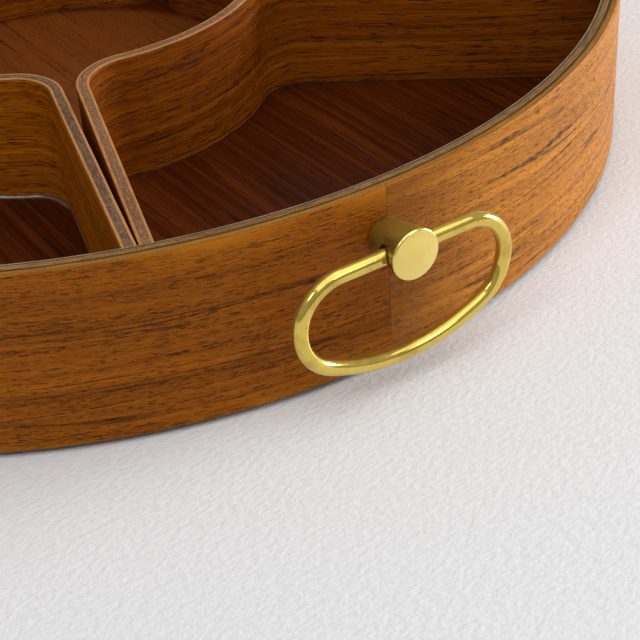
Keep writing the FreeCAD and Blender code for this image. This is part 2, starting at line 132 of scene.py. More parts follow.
def add_node(
    tree: bpy.types.NodeTree,
    kind: str,
    settings: dict[str, Any] | None = None,
    inputs: dict[str | int, Any] | None = None,
) -> bpy.types.Node:
    """Add a node with its settings and its links.

    Args:
        tree: the tree that gets the node.
        kind: the node's type, without its "ShaderNode" start.
        settings: values for the node's own properties. "ramp" is a list of (position, hex) stops.
        inputs: for each socket name or number, a pattern or a socket to link from, or a constant.

    Returns:
        The new node.
    """
    node = tree.nodes.new(f"ShaderNode{kind}")
    for key, value in (settings or {}).items():
        if key == "ramp":
            stops = node.color_ramp.elements
            while len(stops) < len(value):
                stops.new(1.0)
            for stop, (position, code) in zip(stops, value):
                stop.position, stop.color = position, linear(code)
        else:
            setattr(node, key, value)
    for key, value in (inputs or {}).items():
        source = value.socket if isinstance(value, Pattern) else value
        if isinstance(source, bpy.types.NodeSocket):
            tree.links.new(source, node.inputs[key])
        else:
            node.inputs[key].default_value = source
    return node


@dataclass(frozen=True, eq=False)
class Pattern:
    """A number, colour or place that varies over a surface, with the sums that patterns are made of."""

    socket: bpy.types.NodeSocket

    @property
    def tree(self) -> bpy.types.NodeTree:
        """The tree that the pattern is made in."""
        return self.socket.id_data

    def combined(self, operation: str, *others: Any) -> "Pattern":
        """This number and others put through one sum, such as "MAXIMUM"."""
        inputs = dict(enumerate((self, *others)))
        return Pattern(add_node(self.tree, "Math", {"operation": operation}, inputs).outputs[0])

    def __add__(self, other: Any) -> "Pattern":
        """This number plus another."""
        return self.combined("ADD", other)

    def __sub__(self, other: Any) -> "Pattern":
        """This number less another."""
        return self.combined("SUBTRACT", other)

    def __mul__(self, other: Any) -> "Pattern":
        """This number times another."""
        return self.combined("MULTIPLY", other)

    def __abs__(self) -> "Pattern":
        """This number without its sign."""
        return self.combined("ABSOLUTE")


def noise(place: Pattern, cell: float | tuple[float, float, float], detail: float = 2.0,
          roughness: float = 0.5) -> Pattern:
    """Noise whose cells have a real size.

    Args:
        place: a place in millimetres.
        cell: the cell's size in millimetres, or its size along each axis.
        detail: octaves of finer noise.
        roughness: strength of the finer octaves.

    Returns:
        The noise, centred on a half.
    """
    sizes = cell if isinstance(cell, tuple) else (cell, cell, cell)
    scaled = add_node(place.tree, "VectorMath", {"operation": "DIVIDE"}, {0: place, 1: sizes})
    inputs = {"Vector": scaled.outputs[0], "Scale": 1.0, "Detail": detail, "Roughness": roughness}
    return Pattern(add_node(place.tree, "TexNoise", {"noise_dimensions": "3D"}, inputs).outputs[0])


def between(value: Pattern, low: float, high: float, start: float = 0.0, stop: float = 1.0) -> Pattern:
    """Carry a number smoothly from one range to another, held at the ends.

    Args:
        value: the number to read.
        low: input that gives start.
        high: input that gives stop.
        start: output at low.
        stop: output at high.

    Returns:
        The new number.
    """
    inputs = {0: value, 1: low, 2: high, 3: start, 4: stop}
    return Pattern(add_node(value.tree, "MapRange", {"interpolation_type": "SMOOTHSTEP"}, inputs).outputs[0])


def stained(under: Pattern | str, stain: str, share: Pattern) -> Pattern:
    """Lay a stain over a colour.

    Args:
        under: the colour below, as a pattern or as hex.
        stain: the stain's colour, as hex.
        share: how much of the stain shows.

    Returns:
        The mixed colour.
    """
    # Inputs 6 and 7 and output 2 are the ones that carry colours.
    below = linear(under) if isinstance(under, str) else under
    inputs = {0: share, 6: below, 7: linear(stain)}
    return Pattern(add_node(share.tree, "Mix", {"data_type": "RGBA"}, inputs).outputs[2])


def millimetres(tree: bpy.types.NodeTree, place: Place, shift: float, tilt: float) -> Pattern:
    """Give a pattern its millimetres, shifted so that no two pieces match, and tilted.

    Args:
        tree: the tree to work in.
        place: the piece's own grain map, or its solid place.
        shift: how far the pattern is moved along its length, and in part along the other axes.
        tilt: degrees that the grain leans from the piece's length.

    Returns:
        The place in millimetres.
    """
    if place is Place.SURFACE:
        raw = add_node(tree, "UVMap", {"uv_map": GRAIN}).outputs[0]
    else:
        metres = add_node(tree, "TexCoord").outputs["Object"]
        raw = add_node(tree, "VectorMath", {"operation": "SCALE"}, {0: metres, "Scale": 1 / MM}).outputs[0]
    moved = (shift, 1.7 * shift, 0.6 * shift)
    inputs = {"Vector": raw, "Location": moved, "Rotation": (0, 0, math.radians(tilt))}
    return Pattern(add_node(tree, "Mapping", None, inputs).outputs[0])


# ---------------------------------------------------------------- finishes


@dataclass(frozen=True)
class Finish:
    """A finish: its name, its place, and the numbers every shader needs."""

    name: str
    place: Place = Place.SURFACE
    shift: float = 0.0
    tilt: float = 0.0
    roughness: float = 0.4

    def material(self) -> bpy.types.Material:
        """Make the material, or return the one already made under this name."""
        known = bpy.data.materials.get(self.name)
        if known:
            return known
        made = bpy.data.materials.new(self.name)
        made.use_nodes = True
        tree = made.node_tree
        tree.nodes.clear()
        shader = add_node(tree, "BsdfPrincipled")
        add_node(tree, "OutputMaterial", None, {"Surface": shader.outputs[0]})
        self.dress(shader, millimetres(tree, self.place, self.shift, self.tilt))
        return made

    def dress(self, shader: bpy.types.Node, place: Pattern) -> None:
        """Fill the shader's sockets. Each kind of finish has its own way."""
        raise NotImplementedError


def join(shader: bpy.types.Node, colour: Pattern, rough: Pattern, relief: Pattern, depth: float) -> None:
    """Link a colour, a roughness and a relief to a shader.

    Args:
        shader: the shader to fill.
        colour: the colour.
        rough: the roughness.
        relief: the height, from 0 to 1.
        depth: what a height of one means, in millimetres.
    """
    tree = colour.tree
    bump = add_node(tree, "Bump", None, {"Strength": 1.0, "Distance": depth * MM, "Height": relief})
    tree.links.new(colour.socket, shader.inputs["Base Color"])
    tree.links.new(rough.socket, shader.inputs["Roughness"])
    tree.links.new(bump.outputs[0], shader.inputs["Normal"])


@dataclass(frozen=True)
class TeakVeneer(Finish):
    """Oiled teak veneer, knife-cut and sanded: satin orange-brown with open pores.

    The eye sees warm bands a few millimetres wide, dark growth lines that wander a little, and
    short dark pore dashes that lie along the grain in loose rows. Cell sizes read along the grain,
    across it and into the wood.
    """

    light: str = "#B06A22"
    middle: str = "#93500F"
    dark: str = "#6E3606"
    line: str = "#2E1705"
    pore: str = "#241003"
    cut: Cut = Cut.QUARTER
    band: float = 3.0
    line_gap: float = 9.0
    line_width: float = 0.022
    line_strength: float = 0.9
    pore_length: float = 2.8
    pore_width: float = 0.42
    pore_share: float = 0.45
    pore_strength: float = 0.7
    sheen: float = 0.1
    # A painted highlight, in patches, under the upper edge.
    edge_glow: float = 0.0
    glow: str = "#B8700F"
    glow_depth: float = 7.5
    # A darker end by a handle: painted shade of the post and ring, with grime from handling.
    handled_end: float = 0.0
    handled: str = "#5A2600"
    handled_length: float = 50.0
    # Painted light: inside faded_radius the floor is lighter, for the open middle well that is lit more than
    # the compartments.
    faded_radius: float = 0.0
    faded: str = "#8A4A1A"
    fade_width: float = 8.0

    def dress(self, shader: bpy.types.Node, place: Pattern) -> None:
        """Bands, then growth lines, then pores, on a grain that wanders across itself."""
        tree = place.tree
        sway = (noise(place, (150.0, 34.0, 40.0)) - 0.5) * self.cut.value
        aside = add_node(tree, "CombineXYZ", None, {"Y": sway}).outputs[0]
        grain = Pattern(add_node(tree, "VectorMath", {"operation": "ADD"}, {0: place, 1: aside}).outputs[0])
        fibre = noise(grain, (9.0, 0.32, 2.0), 3.0, 0.65)
        pores = self.pores(grain)
        colour = self.fibrous(self.bands(place, grain), fibre)
        colour = stained(colour, self.line, self.growth_lines(grain))
        colour = stained(colour, self.pore, pores * self.pore_strength)
        colour = self.used(colour, place)
        rough = between(fibre, 0.2, 0.8, -0.05, 0.07) + self.roughness + pores * 0.25
        shader.inputs["IOR"].default_value = WOOD_IOR
        shader.inputs["Specular IOR Level"].default_value = self.sheen
        join(shader, colour, rough, fibre * 0.25 - pores, 0.05)

    def bands(self, place: Pattern, grain: Pattern) -> Pattern:
        """Bands of three browns with a slow change of tone, with painted light laid over them inside a radius
        where one is set, where the open middle well is lit more.

        Args:
            place: the piece's millimetres.
            grain: the wandering millimetres.

        Returns:
            The ground colour.
        """
        tree = place.tree
        bands, tone = noise(grain, (260.0, self.band, 12.0), 5.0, 0.62), noise(place, (75.0, 24.0, 30.0))
        ramp = [(0.3, self.dark), (0.5, self.middle), (0.7, self.light)]
        colour = Pattern(add_node(tree, "ValToRGB", {"ramp": ramp}, {0: bands * 0.7 + tone * 0.3}).outputs[0])
        if not self.faded_radius:
            return colour
        # Painted light over the middle well.
        spot = add_node(tree, "TexCoord").outputs["Object"]
        away = Pattern(add_node(tree, "VectorMath", {"operation": "LENGTH"}, {0: spot}).outputs["Value"])
        inside = between(away, (self.faded_radius - self.fade_width) * MM, self.faded_radius * MM, 0.5, 0.0)
        return stained(colour, self.faded, inside)

    def fibrous(self, colour: Pattern, fibre: Pattern) -> Pattern:
        """The colour times a grey that follows the fibres, from 0.78 to 1.16."""
        shade = between(fibre, 0.28, 0.72, 0.78, 1.16)
        grey = add_node(colour.tree, "CombineXYZ", None, {0: shade, 1: shade, 2: shade}).outputs[0]
        settings = {"data_type": "RGBA", "blend_type": "MULTIPLY"}
        return Pattern(add_node(colour.tree, "Mix", settings, {0: 1.0, 6: colour, 7: grey}).outputs[2])

    def growth_lines(self, grain: Pattern) -> Pattern:
        """Dark lines where a slow noise crosses a half, so they run long and meet in arches.

        Args:
            grain: the wandering millimetres.

        Returns:
            How much of the line's colour shows.
        """
        away = abs(noise(grain, (330.0, self.line_gap, 30.0), 2.5, 0.55) - 0.5)
        line = between(away, 0.0, self.line_width, 1.0, 0.0)
        broken = between(noise(grain, (30.0, 5.0, 10.0), 3.0), 0.3, 0.6, 0.15, 1.0)
        ragged = between(noise(grain, (3.5, 0.6, 3.0)), 0.3, 0.6, 0.3, 1.0)
        return line * (broken * ragged) * self.line_strength

    def pores(self, grain: Pattern) -> Pattern:
        """Short dashes where a stretched noise passes a limit, in two sizes, denser in some rows.

        The limit falls from 0.69 as the pores' share grows, and a little more along the denser rows.

        Args:
            grain: the wandering millimetres.

        Returns:
            One inside a pore and zero outside.
        """
        rows = between(noise(grain, (70.0, 2.2, 8.0)), 0.36, 0.66, 0.035, -0.045)
        limit = rows + (0.69 - 0.16 * self.pore_share)
        deep = (noise(grain, (self.pore_length, self.pore_width, 4.0), 1.0, 0.6) - limit) * 16.0
        small = (noise(grain, (0.55 * self.pore_length, 0.6 * self.pore_width, 4.0), 1.0, 0.6) - limit) * 9.0
        return Pattern(add_node(grain.tree, "Clamp", None, {0: deep.combined("MAXIMUM", small)}).outputs[0])

    def used(self, colour: Pattern, place: Pattern) -> Pattern:
        """Lay on a painted highlight in patches under the upper edge, and a dark end by a handle that is
        painted shade with handling grime.

        Args:
            colour: the clean veneer's colour.
            place: the piece's millimetres.

        Returns:
            The colour with its marks.
        """
        tree = place.tree
        if not (self.edge_glow or self.handled_end):
            return colour
        own = add_node(tree, "SeparateXYZ", None, {0: add_node(tree, "UVMap", {"uv_map": GRAIN}).outputs[0]})
        run, up = Pattern(own.outputs[0]), Pattern(own.outputs[1])
        # Painted highlight under the upper edge, in patches.
        highlight_patch = between(noise(place, (38.0, 60.0, 30.0)), 0.4, 0.62)
        near_top = between(up, TOP - RISE - self.glow_depth, TOP - RISE, 0.0, self.edge_glow)
        colour = stained(colour, self.glow, highlight_patch * near_top)
        if not self.handled_end:
            return colour
        # Painted shade of the post and ring, with handling grime, over the first stretch past the seam.
        shade_and_grime_share = between(run, self.handled_end - 2.0, self.handled_end + self.handled_length, 0.6, 0.0)
        return stained(colour, self.handled, shade_and_grime_share)


@dataclass(frozen=True)
class PlyEdge(Finish):
    """The sawn and sanded edge of a ply, oiled: dull, streaked along the strip, with dark specks."""

    light: str = "#A98450"
    dark: str = "#6B4B26"
    speck: str = "#33210F"
    streak: tuple[float, float] = (9.0, 0.45)
    grit: float = 0.5
    grit_share: float = 0.35

    def dress(self, shader: bpy.types.Node, place: Pattern) -> None:
        """Streaks between two browns, a slow change of tone, and end-grain specks."""
        streaks = noise(place, (*self.streak, 3.0), 3.0, 0.6)
        mixed = streaks * 0.65 + noise(place, (42.0, 40.0, 30.0)) * 0.35
        ramp = [(0.38, self.dark), (0.62, self.light)]
        colour = Pattern(add_node(place.tree, "ValToRGB", {"ramp": ramp}, {0: mixed}).outputs[0])
        grit = noise(place, self.grit, 1.5, 0.6)
        colour = stained(colour, self.speck, between(grit, 0.5, 0.64, 0.0, self.grit_share))
        rough = between(grit, 0.3, 0.7, -0.06, 0.08) + self.roughness
        shader.inputs["IOR"].default_value = WOOD_IOR
        shader.inputs["Specular IOR Level"].default_value = 0.15
        join(shader, colour, rough, grit * -1.0, 0.06)


@dataclass(frozen=True)
class Plywood(Finish):
    """Birch plywood, sanded and sealed: pale faces and an edge of pale and brown layers."""

    place: Place = Place.SOLID
    light: str = "#C9A873"
    dark: str = "#9A7442"
    layer: float = 0.85

    def dress(self, shader: bpy.types.Node, place: Pattern) -> None:
        """Layers by height, with a fine fibre along the sheet."""
        height = Pattern(add_node(place.tree, "SeparateXYZ", None, {0: place}).outputs[2])
        odd = between(height.combined("PINGPONG", self.layer), 0.35 * self.layer, 0.6 * self.layer)
        fibre = noise(place, (30.0, 0.7, 30.0), 3.0, 0.6)
        ramp = [(0.3, self.dark), (0.7, self.light)]
        mixed = odd * 0.25 + fibre * 0.75
        colour = Pattern(add_node(place.tree, "ValToRGB", {"ramp": ramp}, {0: mixed}).outputs[0])
        rough = between(fibre, 0.2, 0.8, self.roughness, self.roughness + 0.12)
        join(shader, colour, rough, fibre, 0.04)


@dataclass(frozen=True)
class Brass(Finish):
    """Yellow brass, turned or bent from rod and polished by hand.

    The eye sees pale gold with crisp lights and olive darks, and a few dark specks of tarnish. A thin
    oxide film, which is not metal, lifts the darks. Turned sides keep fine rings and are duller.
    """

    place: Place = Place.SOLID
    base: str = "#EACB68"
    tarnish: str = "#94742C"
    speck: str = "#4A3510"
    roughness: float = 0.15
    tarnish_share: float = 0.25
    speck_gap: float = 2.6
    speckless: float = 0.72
    turned: float = 0.0
    film: float = 0.2

    def dress(self, shader: bpy.types.Node, place: Pattern) -> None:
        """Cloudy tarnish, specks, rub marks, and lathe rings where the piece was turned."""
        stain = between(noise(place, 9.0, 4.0, 0.6), 0.46, 0.72, 0.0, self.tarnish_share)
        specks = self.specks(place)
        colour = stained(stained(self.base, self.tarnish, stain), self.speck, specks * 0.8)
        rub = noise(place, 6.0)
        rough = between(rub, 0.3, 0.75, -0.02, 0.05) + self.roughness + specks * 0.3
        relief = rub * 0.4 - specks
        if self.turned:
            # The lathe's feed is about 0.1 mm, drawn at 0.45 mm so that it shows.
            relief = relief + noise(place, (0.45, 60.0, 60.0), 2.0, 0.7) * self.turned
        shader.inputs["Metallic"].default_value = 1.0 - self.film
        join(shader, colour, rough, relief, 0.004)

    def specks(self, place: Pattern) -> Pattern:
        """Dots at the middles of cells one speck gap wide, in the cells whose number is high.

        Args:
            place: the piece's millimetres.

        Returns:
            One inside a speck and zero outside.
        """
        tree = place.tree
        cell = add_node(tree, "VectorMath", {"operation": "SCALE"}, {0: place, "Scale": 1 / self.speck_gap})
        cells = add_node(tree, "TexVoronoi", None, {"Vector": cell.outputs[0], "Scale": 1.0})
        chance = Pattern(add_node(tree, "SeparateXYZ", None, {0: cells.outputs["Color"]}).outputs[0])
        dots = between(Pattern(cells.outputs["Distance"]), 0.06, 0.13, 1.0, 0.0)
        return dots * chance.combined("GREATER_THAN", self.speckless)


@dataclass(frozen=True)
class PlatedSteel(Finish):
    """Pressed steel with a thin zinc or chrome plate: cool grey, softly mottled, slightly oily."""

    place: Place = Place.SOLID
    base: str = "#B9BCC0"
    stain: str = "#8B8A83"
    roughness: float = 0.3
    mottle: float = 5.0

    def dress(self, shader: bpy.types.Node, place: Pattern) -> None:
        """A mottle of two greys, and a roughness that follows it."""
        mottle = noise(place, self.mottle, 4.0, 0.65)
        colour = stained(self.base, self.stain, between(mottle, 0.4, 0.7))
        rough = between(mottle, 0.3, 0.7, self.roughness - 0.06, self.roughness + 0.1)
        shader.inputs["Metallic"].default_value = 1.0
        join(shader, colour, rough, mottle, 0.01)


@dataclass(frozen=True)
class Rubber(Finish):
    """Cut sheet rubber: near black, matt, with a fine pebble and grey dust."""

    place: Place = Place.SOLID
    base: str = "#1B1A19"
    dust: str = "#4A4744"
    roughness: float = 0.75

    def dress(self, shader: bpy.types.Node, place: Pattern) -> None:
        """A pebbled relief with dust on its high points."""
        pebble = noise(place, 0.6, 3.0, 0.6)
        colour = stained(self.base, self.dust, between(pebble, 0.45, 0.8))
        join(shader, colour, between(pebble, 0.2, 0.8, self.roughness, 0.95), pebble, 0.08)


@dataclass(frozen=True)
class SetLacquer(Finish):
    """Lacquer that ran to the foot of a wall and set there: a glossy fillet, clouded and pale brown, its pale
    tone partly a painted reflection of light.
    """

    roughness: float = 0.16
    clear: str = "#4E3220"
    # Pale tone of the clouds: partly clouded lacquer, partly painted reflection.
    cloudy: str = "#7E6650"

    def dress(self, shader: bpy.types.Node, place: Pattern) -> None:
        """Pale cloudy patches along the run, partly painted reflection, with small ripples across it."""
        cloud_and_reflection = noise(place, (11.0, 1.2, 5.0), 3.0, 0.6)
        colour = stained(self.clear, self.cloudy, between(cloud_and_reflection, 0.3, 0.62))
        ripple = noise(place, (1.6, 3.0, 3.0))
        shader.inputs["Coat Weight"].default_value = 0.6
        shader.inputs["Coat Roughness"].default_value = 0.08
        join(shader, colour, between(ripple, 0.3, 0.7, self.roughness, 0.3), ripple, 0.08)


@dataclass(frozen=True)
class PaleFloor(Finish):
    """The pale floor under the tray: off-white, matt, with soft wrinkles about two millimetres wide."""

    place: Place = Place.SOLID
    roughness: float = 0.6
    base: str = "#E0E0E1"
    # Painted shade in the wrinkles' hollows.
    low: str = "#DBDBDC"

    def dress(self, shader: bpy.types.Node, place: Pattern) -> None:
        """Wrinkles that are a little greyer in their hollows, as painted shade."""
        wrinkle = noise(place, (2.8, 1.6, 3.0), 3.0, 0.6)
        colour = stained(self.low, self.base, between(wrinkle, 0.35, 0.65))
        join(shader, colour, between(wrinkle, 0.2, 0.8, self.roughness, 0.75), wrinkle, 0.4)


# ---------------------------------------------------------------- surfaces


def turned_about_z(points: Array, angle: float) -> Array:
    """Turn points about the upright axis: x' = x cos a - y sin a, y' = x sin a + y cos a."""
    c, s = math.cos(angle), math.sin(angle)
    return points @ np.array([[c, s, 0.0], [-s, c, 0.0], [0.0, 0.0, 1.0]])


def arc(x: float, y: float, radius: float, angles: Array) -> Array:
    """Points on an arc: (x + r cos a, y + r sin a)."""
    return np.stack([x + radius * np.cos(angles), y + radius * np.sin(angles)], 1)


def grid(x: Array, y: Array, z: Array) -> Array:
    """Points (x, y, z) on a grid, from arrays that fill each other's missing axes."""
    return np.stack(np.broadcast_arrays(x, y, z), axis=-1)


def run_along(line: Array) -> Array:
    """Distance along a line of points: the running sum of its steps' lengths, from zero."""
    return np.concatenate([[0.0], np.cumsum(np.linalg.norm(np.diff(line, axis=0), axis=1))])


def linked(name: str, data: Any) -> bpy.types.Object:
    """Make an object from its data and link it to the scene."""
    made = bpy.data.objects.new(name, data)
    bpy.context.scene.collection.objects.link(made)
    return made


def rows_of(items: Any, what: str, width: int) -> Array:
    """Read one property of a mesh's faces or points.

    Args:
        items: the faces or points.
        what: the property's name.
        width: how many numbers each item has.

    Returns:
        One row for each item.
    """
    values = np.empty(len(items) * width, np.float32)
    items.foreach_get(what, values)
    return values.reshape(-1, width)


def volume_of(corners: Array) -> float:
    """Signed volume inside quads: the sum of a . (b x c) over both triangles of each, over six.

    Args:
        corners: array of faces, corners and coordinates.

    Returns:
        A positive number where the faces look outwards.
    """
    a, b, c, d = (corners[:, k] for k in range(4))
    both = np.einsum("ij,ij->i", a, np.cross(b, c)) + np.einsum("ij,ij->i", a, np.cross(c, d))
    return float(both.sum()) / 6.0


def end_fan(loop: Array, first: int, hub: int, backwards: bool) -> Profile:
    """Close the end of a skin by a fan of triangles from the middle of its last loop.

    Args:
        loop: the end's points in millimetres.
        first: number of the loop's first point.
        hub: number of the middle point.
        backwards: whether the fan looks back along the path.

    Returns:
        The triangles, and their grain map, which reads (level, distance from the upright axis).
    """
    here = np.arange(len(loop))
    after = (here + 1) % len(loop)
    one, two = (after, here) if backwards else (here, after)
    flat = np.stack([loop[:, 2], np.hypot(loop[:, 0], loop[:, 1])], 1)
    middle = np.broadcast_to(flat.mean(0), flat.shape)
    fan = np.stack([np.full(len(loop), hub), first + one, first + two], 1)
    return fan, np.stack([middle, flat[one], flat[two]], 1)


def loft(name: str, rings: Array, along: Array, around: Array, closed: bool) -> bpy.types.Object:
    """Join equal loops into one closed skin, with its own grain map in millimetres.

    Corner (i, j) of the grid is rings[i, j]. Each quad joins (i, j), (i, j+1), (i+1, j+1) and
    (i+1, j). The last loop joins the first where the path closes on itself, and elsewhere a fan of
    triangles from the loop's middle closes each end.

    Args:
        name: the object's name.
        rings: loops, points and coordinates, in millimetres.
        along: grain distance of each loop, with one more value where the path is closed.
        around: grain distance of each point on a loop, with one more value for its last side.
        closed: whether the path closes on itself.

    Returns:
        The linked object, at the origin.
    """
    count, size = rings.shape[:2]
    points = rings.reshape(-1, 3)
    spans = np.arange(count if closed else count - 1)
    i, j = (g.ravel() for g in np.meshgrid(spans, np.arange(size), indexing="ij"))
    low, high = i * size, (i + 1) % count * size
    after = (j + 1) % size
    quads = np.stack([low + j, low + after, high + after, high + j], axis=1)
    steps = ((i, j), (i, j + 1), (i + 1, j + 1), (i + 1, j))
    faces, maps = [quads], [np.stack([np.stack([along[m], around[n]], 1) for m, n in steps], axis=1)]
    inside_out = volume_of(points[quads] - points.mean(0)) < 0
    if not closed:
        points = np.vstack([points, rings[[0, -1]].mean(axis=1)])
        for end, first in enumerate((0, (count - 1) * size)):
            fan, fan_map = end_fan(rings[-end], first, count * size + end, backwards=end == 0)
            faces.append(fan)
            maps.append(fan_map)
    if inside_out:
        faces = [f[:, ::-1] for f in faces]
        maps = [m[:, ::-1] for m in maps]
    mesh = bpy.data.meshes.new(name)
    mesh.from_pydata((points * MM).tolist(), [], [row for block in faces for row in block.tolist()])
    layer = mesh.uv_layers.new(name=GRAIN)
    layer.data.foreach_set("uv", np.concatenate([m.reshape(-1) for m in maps]).astype(np.float32))
    smooth(mesh, 35.0)
    mesh.validate()
    return linked(name, mesh)


def smooth(mesh: bpy.types.Mesh, sharp: float) -> None:
    """Shade a mesh smooth, with edges that turn more than this many degrees kept crisp."""
    mesh.shade_smooth()
    mesh.set_sharp_from_angle(angle=math.radians(sharp))


def strip_profile(near: float, far: float, bottom: float, top: float,
                  rounds: tuple[float, float, float, float], rows: int = 14) -> Profile:
    """The section of a bent strip as one loop, with a quarter circle at each corner.

    The loop goes up the near face, over the top, down the far face and back below. A corner of
    radius r is its centre plus r times (cos, sin) of an angle that falls by a quarter turn.

    Args:
        near: offset of the face that is seen.
        far: offset of the other face.
        bottom: lower level.
        top: upper level.
        rounds: corner radii at near top, far top, far bottom and near bottom.
        rows: points up each face.

    Returns:
        Points as (offset, level), and the distance round the loop with its closing value.
    """
    width, sense = abs(far - near), math.copysign(1.0, far - near)
    near_top, far_top, far_bottom, near_bottom = rounds
    quarter = np.linspace(0.0, math.pi / 2, 5)
    rise = np.linspace(bottom + near_bottom, top - near_top, rows)[1:-1]
    fall = np.linspace(top - far_top, bottom + far_bottom, rows)[1:-1]
    loop = np.vstack([
        np.stack([np.zeros_like(rise), rise], 1),
        arc(near_top, top - near_top, near_top, math.pi - quarter),
        arc(width - far_top, top - far_top, far_top, math.pi / 2 - quarter),
        np.stack([np.full_like(fall, width), fall], 1),
        arc(width - far_bottom, bottom + far_bottom, far_bottom, -quarter),
        arc(near_bottom, bottom + near_bottom, near_bottom, -math.pi / 2 - quarter),
    ])
    distance = run_along(np.vstack([loop, loop[:1]])) + rise[0] - bottom
    loop[:, 0] = near + sense * loop[:, 0]
    return loop, distance


def wear(station: Array, seed: int, waves: tuple[float, ...], depth: float) -> Array:
    """Uneven wear along an edge: waves of random phase added, scaled to lie between 0 and depth.

    Args:
        station: distance along the edge in millimetres.
        seed: seed of the phases.
        waves: wave lengths in millimetres.
        depth: the deepest wear.

    Returns:
        Wear at each station.
    """
    phases = np.random.default_rng(seed).uniform(0.0, TURN, len(waves))
    total = sum(np.sin(TURN * station / w + p) for w, p in zip(waves, phases))
    return depth * (0.5 + 0.5 * total / len(waves))


def dress(piece: bpy.types.Object, body: str, slot: str, *finishes: Finish) -> None:
    """Give a piece its finishes and its body, and report it.

    Args:
        piece: the object.
        body: the body it rides on.
        slot: the record's slot. Not used.
        finishes: its finishes in slot order.
    """
    for finish in finishes:
        piece.data.materials.append(finish.material())
    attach(piece, body)
    LOG.info("%s: %d faces, rides on %s", piece.name, len(piece.data.polygons), body)


def mark_top(piece: bpy.types.Object, edge: Finish, top: float) -> None:
    """Give a veneer's sawn upper edge, the faces that look up near its top, their own finish.

    Args:
        piece: the veneer.
        edge: finish of the sawn edge.
        top: level of the upper edge.
    """
    piece.data.materials.append(edge.material())
    faces = piece.data.polygons
    looks_up = rows_of(faces, "normal", 3)[:, 2] > LOOKS_UP
    is_high = rows_of(faces, "center", 3)[:, 2] > (top - SAWN_DEPTH) * MM
    faces.foreach_set("material_index", (looks_up & is_high).astype(np.int32))


# ---------------------------------------------------------------- the hoop


@dataclass(frozen=True)
class HoopPly:
    """One ply of the hoop: its node, its thickness, how far its edge is sunk, and its look."""

    node: str
    thickness: float
    sunk: float
    slot: str
    finish: Finish


